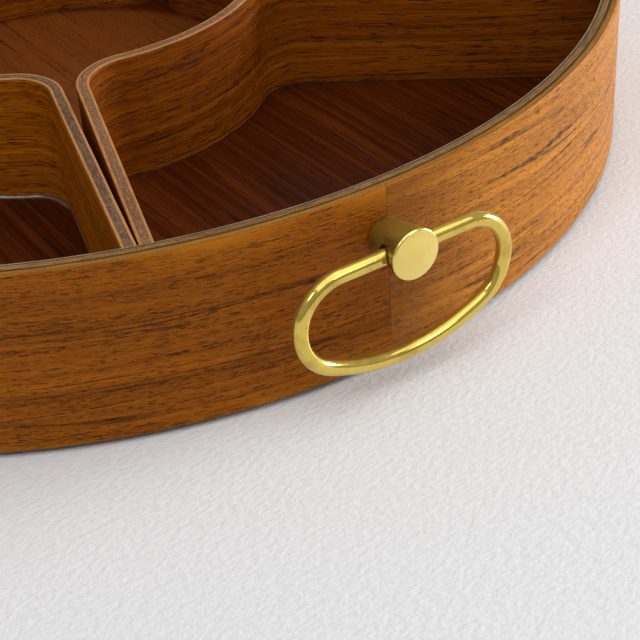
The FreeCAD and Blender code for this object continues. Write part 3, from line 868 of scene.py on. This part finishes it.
@dataclass
class Hoop:
    """The bent-ply hoop: five full rings inside two outer veneer leaves that meet at the handles."""

    seam_offset: float = 1.8
    edge_round: float = 0.6
    veneer: float = 0.8
    seam_gap: float = 0.14
    steps: int = 900
    wear_waves: tuple[float, ...] = (61.0, 27.3, 11.9, 5.3)
    worn_band: float = 1.2
    dents: int = 14
    dent_widths: tuple[float, float] = (0.8, 2.2)
    dent_depths: tuple[float, float] = (0.06, 0.22)
    outer_finishes: dict[str, Finish] = field(default_factory=lambda: {
        # Both leaves carry a painted highlight under the upper edge.
        "west": TeakVeneer("teak_oiled_outer_west", shift=210.0, tilt=0.8, cut=Cut.RIFT, band=3.4,
                           line_gap=8.5, edge_glow=0.75, light="#B0640C", middle="#985204", dark="#783E00",
                           pore_length=3.4, pore_width=0.34, pore_share=0.62, pore_strength=0.72),
        # The east leaf's lighter tones are partly a paler leaf and partly painted light from the right.
        "east": TeakVeneer("teak_oiled_outer_east", shift=640.0, tilt=3.2, cut=Cut.FLAT, band=4.2,
                           line_gap=11.0, edge_glow=0.5, light="#E0902C", middle="#C47A20", dark="#985A16",
                           handled_end=-344.0, sheen=0.13, pore_length=4.2, pore_width=0.34, pore_share=0.7,
                           pore_strength=0.7),
    })

    def plies(self) -> list[HoopPly]:
        """The five inner plies from the outside inwards."""
        inner = TeakVeneer("teak_oiled_hoop_inside", shift=70.0, light="#642603", middle="#4A1A01",
                           dark="#321000")
        return [
            HoopPly("rim_outer_ply", 1.3, 0.02, "rim_ply_tan",
                    PlyEdge("beech_ply_edge_outer", shift=5.0, light="#A87020", dark="#744810")),
            HoopPly("rim_crossband", 0.9, 0.12, "rim_crossband_dark",
                    PlyEdge("crossband_edge_dark", shift=18.0, light="#5B4322", dark="#382611",
                            roughness=0.6)),
            HoopPly("rim_inner_ply", 2.0, 0.0, "rim_ply_tan",
                    PlyEdge("beech_ply_edge_inner", shift=31.0, light="#967040", dark="#6A4824",
                            streak=(5.0, 0.5), grit_share=0.5)),
            HoopPly("rim_inner_crossband", 0.45, 0.1, "rim_crossband_dark",
                    PlyEdge("glue_line_dark", shift=44.0, light="#554026", dark="#33240F",
                            roughness=0.6)),
            HoopPly("rim_inner_veneer", 0.65, 0.03, "teak_inner_veneer", inner),
        ]

    def build(self) -> None:
        """Build every ply, each inside the last, and both veneer leaves."""
        outer = OUTER_RADIUS - self.veneer
        for index, ply in enumerate(self.plies()):
            self.build_ply(index, ply, outer)
            outer -= ply.thickness
        for name, finish in self.outer_finishes.items():
            self.build_leaf(name, finish)

    def build_ply(self, index: int, ply: HoopPly, outer: float) -> None:
        """A full ring: its section carried round a circle, with its upper edge worn unevenly.

        Args:
            index: the ply's number, which seeds its wear.
            ply: its sizes and look.
            outer: its outer radius.
        """
        inner = outer - ply.thickness
        is_face = ply.node == "rim_inner_veneer"
        near, far = (inner, outer) if is_face else (outer, inner)
        rounds = (0.3, 0.02, 0.02, 0.3) if is_face else (0.04, 0.04, 0.04, 0.04)
        loop, distance = strip_profile(near, far, RISE, TOP - ply.sunk, rounds)
        angle = np.linspace(0.0, TURN, self.steps + 1)
        rings = self.swept(loop, angle[:-1], index + 3, 0.05)
        piece = loft(ply.node + "_ring", rings, angle * outer, distance, closed=True)
        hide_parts(ply.node)
        dress(piece, TRAY, ply.slot, ply.finish)
        if is_face:
            mark_top(piece, PlyEdge("hoop_inner_veneer_edge", shift=57.0, light="#A08A70", dark="#786349",
                                    speck="#5A4028", streak=(6.0, 0.4)), TOP)

    def build_leaf(self, name: str, finish: Finish) -> None:
        """One outer veneer leaf: an open arc from seam to seam, its edges rounded and knocked.

        Args:
            name: east or west.
            finish: its veneer.
        """
        seam = math.asin((self.seam_offset + self.seam_gap / 2) / OUTER_RADIUS)
        other = math.asin((self.seam_offset - self.seam_gap / 2) / OUTER_RADIUS)
        start, stop = (-math.pi / 2 + seam, math.pi / 2 - seam)
        if name == "west":
            start, stop = (math.pi / 2 - other, 3 * math.pi / 2 + other)
        angle = np.linspace(start, stop, self.steps // 2 + 1)
        rounds = (self.edge_round, 0.02, 0.02, self.edge_round)
        loop, distance = strip_profile(OUTER_RADIUS, OUTER_RADIUS - self.veneer, RISE, TOP, rounds, 26)
        rings = self.swept(loop, angle, 17 if name == "east" else 19, 0.07, knocked=True)
        piece = loft(f"rim_outer_veneer_leaf_{name}", rings, angle * OUTER_RADIUS, distance, closed=False)
        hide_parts(f"rim_outer_veneer_{name}")
        dress(piece, TRAY, "teak_outer_veneer", finish)
        mark_top(piece, PlyEdge("hoop_outer_veneer_edge", shift=63.0, light="#A8660E", dark="#7C4604",
                                speck="#5A3208", streak=(6.0, 0.4)), TOP)

    def swept(self, loop: Array, angle: Array, seed: int, depth: float, knocked: bool = False) -> Array:
        """Carry a section round the axis: (r cos a, r sin a, z), with z lowered by wear near the top.

        Args:
            loop: the section as (radius, level).
            angle: stations round the hoop in radians.
            seed: seed of the wear.
            depth: deepest wear of the upper edge.
            knocked: whether small dents are pressed into the outer edge.

        Returns:
            The grid of points.
        """
        radius = np.broadcast_to(loop[:, 0], (len(angle), len(loop))).copy()
        level = np.broadcast_to(loop[:, 1], radius.shape).copy()
        worn = wear(angle * OUTER_RADIUS, seed, self.wear_waves, depth)
        near_top = np.clip((level - (TOP - self.worn_band)) / self.worn_band, 0.0, 1.0)
        level -= worn[:, None] * near_top
        if knocked:
            random = np.random.default_rng(seed + 100)
            spots = random.uniform(angle[0], angle[-1], self.dents)
            widths = random.uniform(*self.dent_widths, self.dents) / OUTER_RADIUS
            deep = random.uniform(*self.dent_depths, self.dents)
            dents = (deep * np.exp(-(((angle[:, None] - spots) / widths) ** 2))).sum(1)
            radius -= 0.6 * dents[:, None] * near_top
            level -= 0.5 * dents[:, None] * near_top
        return grid(radius * np.cos(angle)[:, None], radius * np.sin(angle)[:, None], level)


# ---------------------------------------------------------------- the floor's face


@dataclass
class TrayFloor:
    """The floor's upper veneer: one thin disc whose grain runs from handle to handle."""

    bottom: float = 12.0
    steps: int = 240
    finish: Finish = TeakVeneer(
        "teak_oiled_floor", shift=330.0, light="#622B05", middle="#451801", dark="#290D00", line="#100400",
        # faded_radius paints light over the middle of the floor, where the open well is.
        pore="#1A0801", cut=Cut.RIFT, faded_radius=84.0, band=2.4, line_gap=5.0, pore_share=0.3,
        pore_strength=0.5, roughness=0.38, sheen=0.11,
    )

    def build(self) -> None:
        """A disc as loops (r cos a, r sin a, z): out over its face, down its edge, and back below."""
        over = np.linspace(1.0, INNER_RADIUS, 40)
        under = np.linspace(INNER_RADIUS, 1.0, 8)
        radii = np.concatenate([over, [INNER_RADIUS], under])
        edge = (FLOOR_TOP + self.bottom) / 2
        levels = np.concatenate([np.full_like(over, FLOOR_TOP), [edge], np.full_like(under, self.bottom)])
        angle = np.linspace(0.0, TURN, self.steps, endpoint=False)
        rings = grid(radii[:, None] * np.cos(angle), radii[:, None] * np.sin(angle), levels[:, None])
        piece = loft("floor_face", rings, radii, np.linspace(0.0, 1.0, self.steps + 1), closed=False)
        flat_map(piece)
        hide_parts("floor_top_veneer")
        dress(piece, TRAY, "teak_floor_veneer", self.finish)


def flat_map(piece: bpy.types.Object) -> None:
    """Give a flat piece a grain map that reads (y, x) in millimetres, so the grain runs along y."""
    mesh = piece.data
    corners = np.empty(len(mesh.loops), np.int32)
    mesh.loops.foreach_get("vertex_index", corners)
    place = rows_of(mesh.vertices, "co", 3)[corners] / MM
    mesh.uv_layers[GRAIN].data.foreach_set("uv", place[:, [1, 0]].reshape(-1).astype(np.float32))


# ---------------------------------------------------------------- the dividers


@dataclass
class Divider:
    """One bent-ply divider: a curved back wall and two straight legs that end on the hoop.

    The path is a leg, a corner arc, an arc about the tray's axis, a corner arc and a leg. All
    plies share the arcs' centres. The corner's centre lies bend + R sin(splay) inside the leg's
    line, at a distance wall + bend from the tray's axis.
    """

    index: int
    splay: float
    wall: float
    bend: float
    first_azimuth: float = -72.9
    count: int = 5
    thickness: float = 4.4
    face: float = 0.9
    leg_gap: float = 0.4
    glue_line: float = 0.1
    height: float = 46.2
    bead: float = 0.0
    # Size of the dark foot line, which paints the contact shadow.
    glue: float = 0.28
    wear_waves: tuple[float, ...] = (47.0, 19.0, 7.1)
    bead_waves: tuple[float, ...] = (33.0, 13.0, 6.0)
    bead_fade: float = 12.0

    @property
    def turn(self) -> float:
        """The compartment's azimuth in radians."""
        return math.radians(self.first_azimuth - 360.0 * self.index / self.count)

    def path(self, offsets: Array) -> tuple[Array, Array]:
        """The divider's line at each offset, and the distance along the one nearest the compartment.

        Args:
            offsets: distances behind the compartment's faces.

        Returns:
            Stations by offsets by (x, y), and the distance along the line of the smallest offset.
        """
        end = math.pi / self.count - (self.thickness + self.leg_gap / 2) / INNER_RADIUS
        heading = end + math.radians(self.splay)
        along = np.array([math.cos(heading), math.sin(heading)])
        inward = np.array([math.sin(heading), -math.cos(heading)])
        across = self.bend + INNER_RADIUS * math.sin(math.radians(self.splay))
        centre = inward * across + along * math.sqrt((self.wall + self.bend) ** 2 - across**2)
        foot = centre - inward * (self.bend + offsets)[:, None]
        reach = INNER_RADIUS - self.glue_line
        run = foot @ along
        length = -run + np.sqrt(run**2 - (foot**2).sum(1) + reach**2)
        legs = foot + np.linspace(1.0, 0.0, 26)[:, None, None] * length[:, None] * along
        begin = math.atan2(-inward[1], -inward[0])
        finish = math.atan2(-centre[1], -centre[0])
        turn = (finish - begin + math.pi) % TURN - math.pi
        angle = begin + turn * np.linspace(0.0, 1.0, 25)[1:]
        corner = centre + arc(0.0, 0.0, 1.0, angle)[:, None, :] * (self.bend + offsets)[:, None]
        half = math.atan2(centre[1], centre[0])
        sweep = np.linspace(half, 0.0, 34)[1:]
        wall = arc(0.0, 0.0, 1.0, sweep)[:, None, :] * (self.wall - offsets)[:, None]
        upper = np.concatenate([legs, corner, wall])
        lower = upper[-2::-1] * np.array([1.0, -1.0])
        line = np.concatenate([upper, lower])
        return line, run_along(line[:, int(np.abs(offsets).argmin())])

    def swept(self, loop: Array, distance: Array, name: str, seed: int = 0,
              depth: float = 0.0) -> bpy.types.Object:
        """Carry a section of (offset, level) along the divider's line, its top worn unevenly.

        Args:
            loop: the section.
            distance: distance round the section.
            name: the piece's name.
            seed: seed of the wear.
            depth: deepest wear of the top.

        Returns:
            The piece.
        """
        line, station = self.path(loop[:, 0])
        level = np.broadcast_to(loop[:, 1], line.shape[:2]).copy()
        top = FLOOR_TOP + self.height
        worn = wear(station, seed, self.wear_waves, depth)
        level -= worn[:, None] * np.clip(level - (top - 1.0), 0.0, 1.0)
        rings = turned_about_z(np.concatenate([line, level[:, :, None]], axis=2), self.turn)
        return loft(name, rings, station, distance, closed=False)

    def build(self, veneer: Finish, core: Finish, edge: Finish) -> None:
        """Build the two face veneers and the core.

        Args:
            veneer: finish of the faces.
            core: finish of the core.
            edge: finish of the faces' sawn top edges.
        """
        top = FLOOR_TOP + self.height
        back = self.thickness - self.face
        layers = (
            ("inside_veneer", 0.0, self.face, 0.0, 0.35, "divider_teak_veneer", veneer),
            ("core", self.face, back, 0.05, 0.03, "divider_core", core),
            ("outside_veneer", self.thickness, back, 0.0, 0.35, "divider_teak_veneer", veneer),
        )
        for number, (label, near, far, sunk, rounded, slot, finish) in enumerate(layers):
            loop, distance = strip_profile(near, far, FLOOR_TOP, top - sunk, (rounded, 0.03, 0.02, 0.02))
            name = f"divider_{self.index + 1}_{label}"
            piece = self.swept(loop, distance, name + "_strip", 40 + 3 * self.index + number, 0.06)
            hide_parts(name)
            dress(piece, TRAY, slot, finish)
            if label != "core":
                mark_top(piece, edge, top)
        self.build_glue()
        if self.bead:
            self.build_bead()

    def build_glue(self) -> None:
        """A dark line along the foot, a painted contact shadow, as a small wedge carried along the line."""
        glue = self.glue
        wedge = np.array([[0.05, -0.02], [-glue, -0.02], [-glue, 0.05], [-0.1, glue], [0.05, glue]])
        loop = wedge + [0.0, FLOOR_TOP]
        piece = self.swept(loop, np.arange(6.0) * glue, f"divider_{self.index + 1}_foot_shade_line")
        # Painted shade: near-black colours for the contact shadow at the divider's foot.
        finish = PlyEdge("painted_foot_shade", light="#1E0B02", dark="#0E0501", speck="#080300", roughness=0.6)
        dress(piece, TRAY, "divider_core", finish)

    def build_bead(self) -> None:
        """Lacquer set at the foot of the back wall, thinning out before both corners.

        Its section is a hollow quarter circle of radius b, (-b (1 - sin a), b (1 - cos a)). Both
        parts shrink by a factor that is near one along the wall, with slow waves in it, and falls to
        a fiftieth at its ends.
        """
        bow = np.linspace(0.0, math.pi / 2, 7)
        hollow = np.stack([-self.bead * (1 - np.sin(bow)), self.bead * (1 - np.cos(bow))], 1)
        loop = np.vstack([[0.05, -0.02], hollow, [0.05, self.bead]])
        line, station = self.path(loop[:, 0])
        wall, _ = self.path(np.zeros(1))
        middle = station[-1] / 2
        half = self.wall * math.pi / self.count + 2.0
        past = np.clip((np.abs(station - middle) - half + self.bead_fade) / (0.7 * self.bend), 0.0, 1.0)
        share = 1.0 - 0.98 * past * past * (3.0 - 2.0 * past)
        share *= 1.0 - wear(station, 71, self.bead_waves, 0.25)
        kept = np.abs(station - middle) < half - 0.4
        spread = wall + (line - wall) * share[:, None, None]
        level = FLOOR_TOP + share[:, None] * np.maximum(loop[:, 1], 0.0) - 0.02 * (loop[:, 1] < 0)
        rings = turned_about_z(np.concatenate([spread, level[:, :, None]], axis=2), self.turn)[kept]
        around = run_along(np.vstack([loop, loop[:1]]))
        piece = loft(f"divider_{self.index + 1}_foot_fillet", rings, station[kept], around, closed=False)
        dress(piece, TRAY, "divider_teak_veneer", SetLacquer("lacquer_fillet", shift=12.0))


@dataclass
class DividerSet:
    """The five dividers. The first two were bent a little differently from each other and the rest."""

    splays: tuple[float, ...] = (0.0, 4.5, 2.3, 2.3, 2.3)
    walls: tuple[float, ...] = (84.5, 87.3, 86.0, 86.0, 86.0)
    bends: tuple[float, ...] = (17.0, 16.0, 16.5, 16.5, 16.5)
    beads: tuple[float, ...] = (0.0, 1.15, 0.0, 0.0, 0.0)
    tilts: tuple[float, ...] = (0.0, 0.6, -0.5, 0.3, 0.0)
    brown_leaf: Tones = ("#A85C10", "#884204", "#5E2801")
    bright_leaf: Tones = ("#D88214", "#B46206", "#7E3C02")
    cores: tuple[tuple[str, str], ...] = (("#9A6E4E", "#70492F"),) + 4 * (("#86644A", "#58402C"),)

    def build(self) -> None:
        """Build each divider with its own stretch of veneer. The second has a brighter leaf."""
        sizes = zip(self.splays, self.walls, self.bends, self.beads)
        for index, (splay, wall, bend, bead) in enumerate(sizes):
            light, middle, dark = self.bright_leaf if index == 1 else self.brown_leaf
            core_light, core_dark = self.cores[index]
            veneer = TeakVeneer(
                f"teak_oiled_divider_{index + 1}", shift=90.0 + 57.0 * index, tilt=self.tilts[index],
                light=light, middle=middle, dark=dark, line="#2C1001", cut=Cut.RIFT, band=1.8, line_gap=5.0,
                line_strength=0.7, pore_length=7.0, pore_width=0.55, pore_share=0.6, pore_strength=0.75,
                roughness=0.42,
            )
            core = PlyEdge(
                f"divider_core_edge_{index + 1}", shift=23.0 * index, light=core_light, dark=core_dark,
                speck="#2E1C10", streak=(2.5, 0.8), grit=0.55, grit_share=0.6, roughness=0.55,
            )
            edge = PlyEdge(
                f"divider_veneer_edge_{index + 1}", shift=31.0 * index, light="#C08A52", dark="#9A6534",
                speck="#5A3518", streak=(6.0, 0.4), grit=0.4, grit_share=0.3,
            )
            Divider(index, splay, wall, bend, bead=bead).build(veneer, core, edge)


# ---------------------------------------------------------------- the handles


@dataclass
class RingPost:
    """A turned brass post: a flared body, a rounded edge, a low dome, and a cross hole."""

    length: float = 17.5
    foot: float = 5.3
    face: float = 8.2
    edge: float = 0.8
    dome: float = 1.2
    sunk: float = 0.15
    undercut: float = 0.35
    undercut_length: float = 0.6
    level: float = 47.4
    hole_level: float = 47.35
    hole: float = 3.15
    drill_half: float = 12.0
    steps: int = 144

    def profile(self) -> Array:
        """The post's outline as (distance along its axis, radius), from foot to dome.

        The side is a straight flare, undercut a little where it meets the hoop. The edge is a
        quarter circle. The dome is an arc through the edge and the middle, so its drop is R minus
        the root of R squared less r squared.

        Returns:
            Points from the foot to the middle of the face.
        """
        shoulder = self.length - self.dome
        start = shoulder - self.edge
        side = np.linspace(0.0, 1.0, 40)
        out = -self.sunk + side * (start + self.sunk)
        radius = self.foot + side * (self.face - self.foot)
        radius -= self.undercut * np.clip(1.0 - (out + self.sunk) / self.undercut_length, 0.0, 1.0)
        flat = self.face - self.edge
        round_edge = arc(start, flat, self.edge, np.linspace(math.pi / 2, 0.0, 9)[1:])
        sphere = (flat**2 + self.dome**2) / (2 * self.dome)
        inwards = np.linspace(flat, 0.15, 30)[1:]
        cap = np.stack([self.length - sphere + np.sqrt(sphere**2 - inwards**2), inwards], 1)
        return np.vstack([np.stack([out, radius], 1), round_edge, cap])

    def build(self, side: Side) -> None:
        """Turn the post, bore its cross hole, and lay it on the hoop.

        Args:
            side: which handle it is for.
        """
        outline = self.profile()
        angle = np.linspace(0.0, TURN, self.steps + 1)
        out, radius = outline[:, 0], outline[:, 1:]
        across, up = radius * np.cos(angle[:-1]), radius * np.sin(angle[:-1])
        rings = turned_about_z(grid(across, -(OUTER_RADIUS + out)[:, None], self.level + up), side.turn)
        piece = loft(f"post_{side.label}", rings, out, angle * self.face, closed=False)
        drill = self.drill(side)
        cut = piece.modifiers.new("cross_hole", "BOOLEAN")
        cut.operation, cut.solver, cut.object = "DIFFERENCE", "EXACT", drill
        bpy.context.view_layer.update()
        bored = bpy.data.meshes.new_from_object(piece.evaluated_get(bpy.context.evaluated_depsgraph_get()))
        piece.modifiers.clear()
        piece.data = bored
        bpy.data.objects.remove(drill)
        smooth(bored, 30.0)
        side_finish = Brass("brass_turned_side", place=Place.SURFACE, base="#B29844", roughness=0.34,
                            tarnish="#4E3810", tarnish_share=0.8, turned=6.0)
        face_finish = Brass("brass_polished_face", base="#F4DA7C", roughness=0.17, tarnish_share=0.15)
        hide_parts(f"handle_post_{side.label}")
        dress(piece, TRAY, "brass_turned", side_finish, face_finish)
        self.mark_face(piece)

    def drill(self, side: Side) -> bpy.types.Object:
        """A rod across the post, as the tool that bores its hole: (x, r cos a, r sin a).

        Args:
            side: which handle it is for.

        Returns:
            The tool.
        """
        angle = np.linspace(0.0, TURN, 65)
        x = np.linspace(-self.drill_half, self.drill_half, 9)
        section = arc(-(OUTER_RADIUS + HINGE_REACH), self.hole_level, self.hole, angle[:-1])
        rings = grid(x[:, None], section[:, 0], section[:, 1])
        return loft(f"drill_{side.label}", turned_about_z(rings, side.turn), x, angle, closed=False)

    def mark_face(self, piece: bpy.types.Object) -> None:
        """Give the domed face and its edge the polished finish: faces beyond the shoulder.

        Args:
            piece: the post.
        """
        faces = piece.data.polygons
        shoulder = OUTER_RADIUS + self.length - self.dome - self.edge
        beyond = np.abs(rows_of(faces, "center", 3)[:, 1]) > shoulder * MM
        faces.foreach_set("material_index", beyond.astype(np.int32))


@dataclass
class PullRing:
    """A ring of bent brass rod: flat at its top, with a long bow below, hanging from its post."""

    rod: float = 2.5
    top_half: float = 22.9
    drop: float = 36.0
    shoulder: float = 14.4
    corner: float = 17.0
    end_gap: float = 1.0
    flattening: float = 0.025
    level: float = 46.9
    section: int = 40
    finish: Finish = Brass("brass_polished_rod", base="#E4C660", film=0.15, roughness=0.12, tarnish_share=0.4)

    def path(self) -> Array:
        """The rod's line as (x, z) about its hinge, from one end round to the other.

        A straight top, a shoulder arc, a wider corner arc and a bow that touches both corners and
        reaches the full drop: bow radius = (cx^2 + d^2 - c^2) / (2 (d - c)), with d the drop less
        the shoulder, cx the corner centre's x and c the corner's radius.

        Returns:
            Points along the line, mirrored about its middle.
        """
        centre_x = self.top_half + self.shoulder - self.corner
        left = self.drop - self.shoulder
        bow = (centre_x**2 + left**2 - self.corner**2) / (2 * (left - self.corner))
        bow_z = bow - self.drop
        lean = math.atan2(-self.shoulder - bow_z, centre_x)
        straight = np.linspace(self.end_gap / 2, self.top_half, 24)
        half = np.vstack([
            np.stack([straight, np.zeros_like(straight)], 1),
            arc(self.top_half, -self.shoulder, self.shoulder, np.linspace(math.pi / 2, 0.0, 40)[1:]),
            arc(centre_x, -self.shoulder, self.corner, np.linspace(0.0, lean, 40)[1:]),
            arc(0.0, bow_z, bow, np.linspace(lean, -math.pi / 2, 50)[1:]),
        ])
        return np.vstack([half, half[-2::-1] * np.array([-1.0, 1.0])])

    def build(self, side: Side) -> None:
        """Carry a circle along the line, a little flattened where the rod is bent.

        The point at angle a is the line's point plus r (1 - f k) cos a along the normal and
        r sin a across the ring's plane, where k is the bend's share of the tightest bend.

        Args:
            side: which handle it is.
        """
        line = self.path()
        steps = np.gradient(line, axis=0)
        tangent = steps / np.linalg.norm(steps, axis=1)[:, None]
        normal = np.stack([-tangent[:, 1], tangent[:, 0]], 1)
        bending = np.linalg.norm(np.gradient(tangent, axis=0), axis=1) / np.linalg.norm(steps, axis=1)
        evened = np.convolve(np.pad(bending, 6, mode="edge"), np.ones(13) / 13, mode="valid")
        squash = 1.0 - self.flattening * evened / evened.max()
        angle = np.linspace(0.0, TURN, self.section + 1)
        reach = self.rod * squash[:, None] * np.cos(angle[:-1])
        spot = line[:, None, :] + normal[:, None, :] * reach[:, :, None]
        depth = -(OUTER_RADIUS + HINGE_REACH) + self.rod * np.sin(angle[:-1])
        rings = turned_about_z(grid(spot[:, :, 0], depth, self.level + spot[:, :, 1]), side.turn)
        piece = loft(f"ring_{side.label}", rings, run_along(line), angle * self.rod, closed=False)
        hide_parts(f"handle_ring_{side.label}")
        dress(piece, f"ring_{side.label}", "brass_polished", self.finish)


# ---------------------------------------------------------------- the running gear


@dataclass
class RunningGear:
    """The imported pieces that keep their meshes: screws, races, cage, pivot, base and floor core."""

    def build(self, nodes: dict[str, bpy.types.Object]) -> None:
        """Give each kept node the finish of what it is made of.

        Args:
            nodes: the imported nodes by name.
        """
        fastener = Brass("brass_fastener", base="#D8BC62", roughness=0.22, tarnish_share=0.4)
        zinc = PlatedSteel("zinc_plated_screw", base="#C4C6C4", roughness=0.34, mottle=1.5)
        pressed = PlatedSteel("zinc_plated_pressed_steel", base="#B4B8BA", roughness=0.32, mottle=6.0)
        kept: dict[str, Finish] = {
            "handle_screw_front": fastener, "handle_screw_back": fastener,
            "handle_washer_front": fastener, "handle_washer_back": fastener,
            "lower_race": pressed, "upper_race": pressed,
            "lower_race_screws": zinc, "upper_race_screws": zinc, "pivot_hub_screws": zinc,
            "pivot_washer": zinc, "pivot_screw": zinc,
            "ball_cage": Brass("brass_pressed_cage", base="#CDB060", roughness=0.3, tarnish_share=0.5),
            "bearing_balls": PlatedSteel("chrome_steel_ball", base="#D2D4D6", stain="#B6B8BA", roughness=0.1),
            "pivot_hub": PlatedSteel("turned_steel_hub", base="#A6A8AA", roughness=0.28, mottle=3.0),
            "base_bush": Brass("bronze_bush", base="#B98A52", roughness=0.3, tarnish_share=0.4),
            "base_disc": Plywood("birch_plywood_base", roughness=0.5, layer=0.87),
            "floor_core": Plywood("birch_plywood_floor_core", roughness=0.5, shift=40.0, layer=0.97),
            "floor_bottom_veneer": Plywood("beech_backing_veneer", roughness=0.48, shift=80.0,
                                           light="#B98A5A", dark="#8E6136", layer=50.0),
            "base_feet": Rubber("sheet_rubber"),
        }
        for name, finish in kept.items():
            materials = nodes[name].data.materials
            materials.clear()
            materials.append(finish.material())
            LOG.info("%s keeps its mesh, finished as %s", name, finish.name)


# ---------------------------------------------------------------- the studio


@dataclass
class Studio:
    """The pale floor, the soft lights and the camera."""

    eye: tuple[float, float, float] = (-0.2207, -0.5306, 0.2805)
    forward: tuple[float, float, float] = (0.4401, 0.6962, -0.5671)
    roll: float = -3.97
    lens: float = 86.01
    reach: float = 6.0

    def build(self) -> None:
        """Build the floor, the lights and the camera."""
        self.build_floor()
        self.build_lights()
        self.build_camera()

    def build_floor(self) -> None:
        """A wide flat sheet under the feet."""
        corners = [(x * self.reach, y * self.reach, 0) for x, y in ((-1, -1), (1, -1), (1, 1), (-1, 1))]
        mesh = bpy.data.meshes.new("studio_floor")
        mesh.from_pydata(corners, [], [(0, 1, 2, 3)])
        mesh.materials.append(PaleFloor("matt_pale_floor").material())
        linked("studio_floor", mesh)

    def build_lights(self) -> None:
        """A pale room, a large soft light above, a low one at the right, and two small ones."""
        world = bpy.data.worlds.new("pale_room")
        world.use_nodes = True
        tree = world.node_tree
        tree.nodes.clear()
        place = add_node(tree, "TexCoord").outputs["Generated"]
        height = Pattern(add_node(tree, "SeparateXYZ", None, {0: place}).outputs[2])
        ramp = [(0.0, "#C8C8C8"), (0.5, "#C8C8C8"), (0.62, "#E0E0E0"), (1.0, "#FFFFFF")]
        shade = add_node(tree, "ValToRGB", {"ramp": ramp}, {0: height * 0.5 + 0.5})
        back = add_node(tree, "Background", None, {"Color": shade.outputs[0], "Strength": 0.42})
        add_node(tree, "OutputWorld", None, {"Surface": back.outputs[0]})
        bpy.context.scene.world = world
        lamps = (
            ("soft_top", (0.2, -0.8, 2.3), (0.0, 0.0, 0.0), 2.8, 32.0),
            ("window_right", (2.6, -0.7, 0.42), (0.1, -0.1, 0.03), 1.2, 75.0),
            ("small_left", (-1.3, -0.6, 1.5), (0.0, -0.2, 0.0), 0.5, 5.0),
            ("small_front", (0.6, -1.5, 1.2), (0.0, -0.2, 0.0), 0.5, 4.0),
        )
        for name, spot, target, size, power in lamps:
            light = bpy.data.lights.new(name, "AREA")
            light.shape, light.size, light.energy = "SQUARE", size, power
            lamp = linked(name, light)
            lamp.location = spot
            lamp.rotation_mode = "QUATERNION"
            lamp.rotation_quaternion = (Vector(target) - Vector(spot)).to_track_quat("-Z", "Y")
        bpy.context.scene.view_settings.view_transform = "Standard"

    def build_camera(self) -> None:
        """The camera looks along forward, its sides turned by the roll about that line."""
        forward = Vector(self.forward).normalized()
        level = forward.cross(Vector((0, 0, 1))).normalized()
        up = level.cross(forward)
        c, s = math.cos(math.radians(self.roll)), math.sin(math.radians(self.roll))
        right, top = c * level + s * up, c * up - s * level
        turn = Matrix((right, top, -forward)).transposed().to_4x4()
        data = bpy.data.cameras.new("view")
        data.lens, data.sensor_width = self.lens, 36.0
        data.clip_start, data.clip_end = 0.01, 50.0
        camera = linked("view", data)
        camera.matrix_world = Matrix.Translation(self.eye) @ turn
        bpy.context.scene.camera = camera


def main() -> None:
    """Load the frame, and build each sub-assembly in order."""
    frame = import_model()
    Studio().build()
    Hoop().build()
    TrayFloor().build()
    DividerSet().build()
    for side in Side:
        RingPost().build(side)
        PullRing().build(side)
    RunningGear().build(frame["nodes"])


if __name__ == "__main__":
    logging.basicConfig(level=logging.INFO, format="%(name)s: %(message)s")
    main()
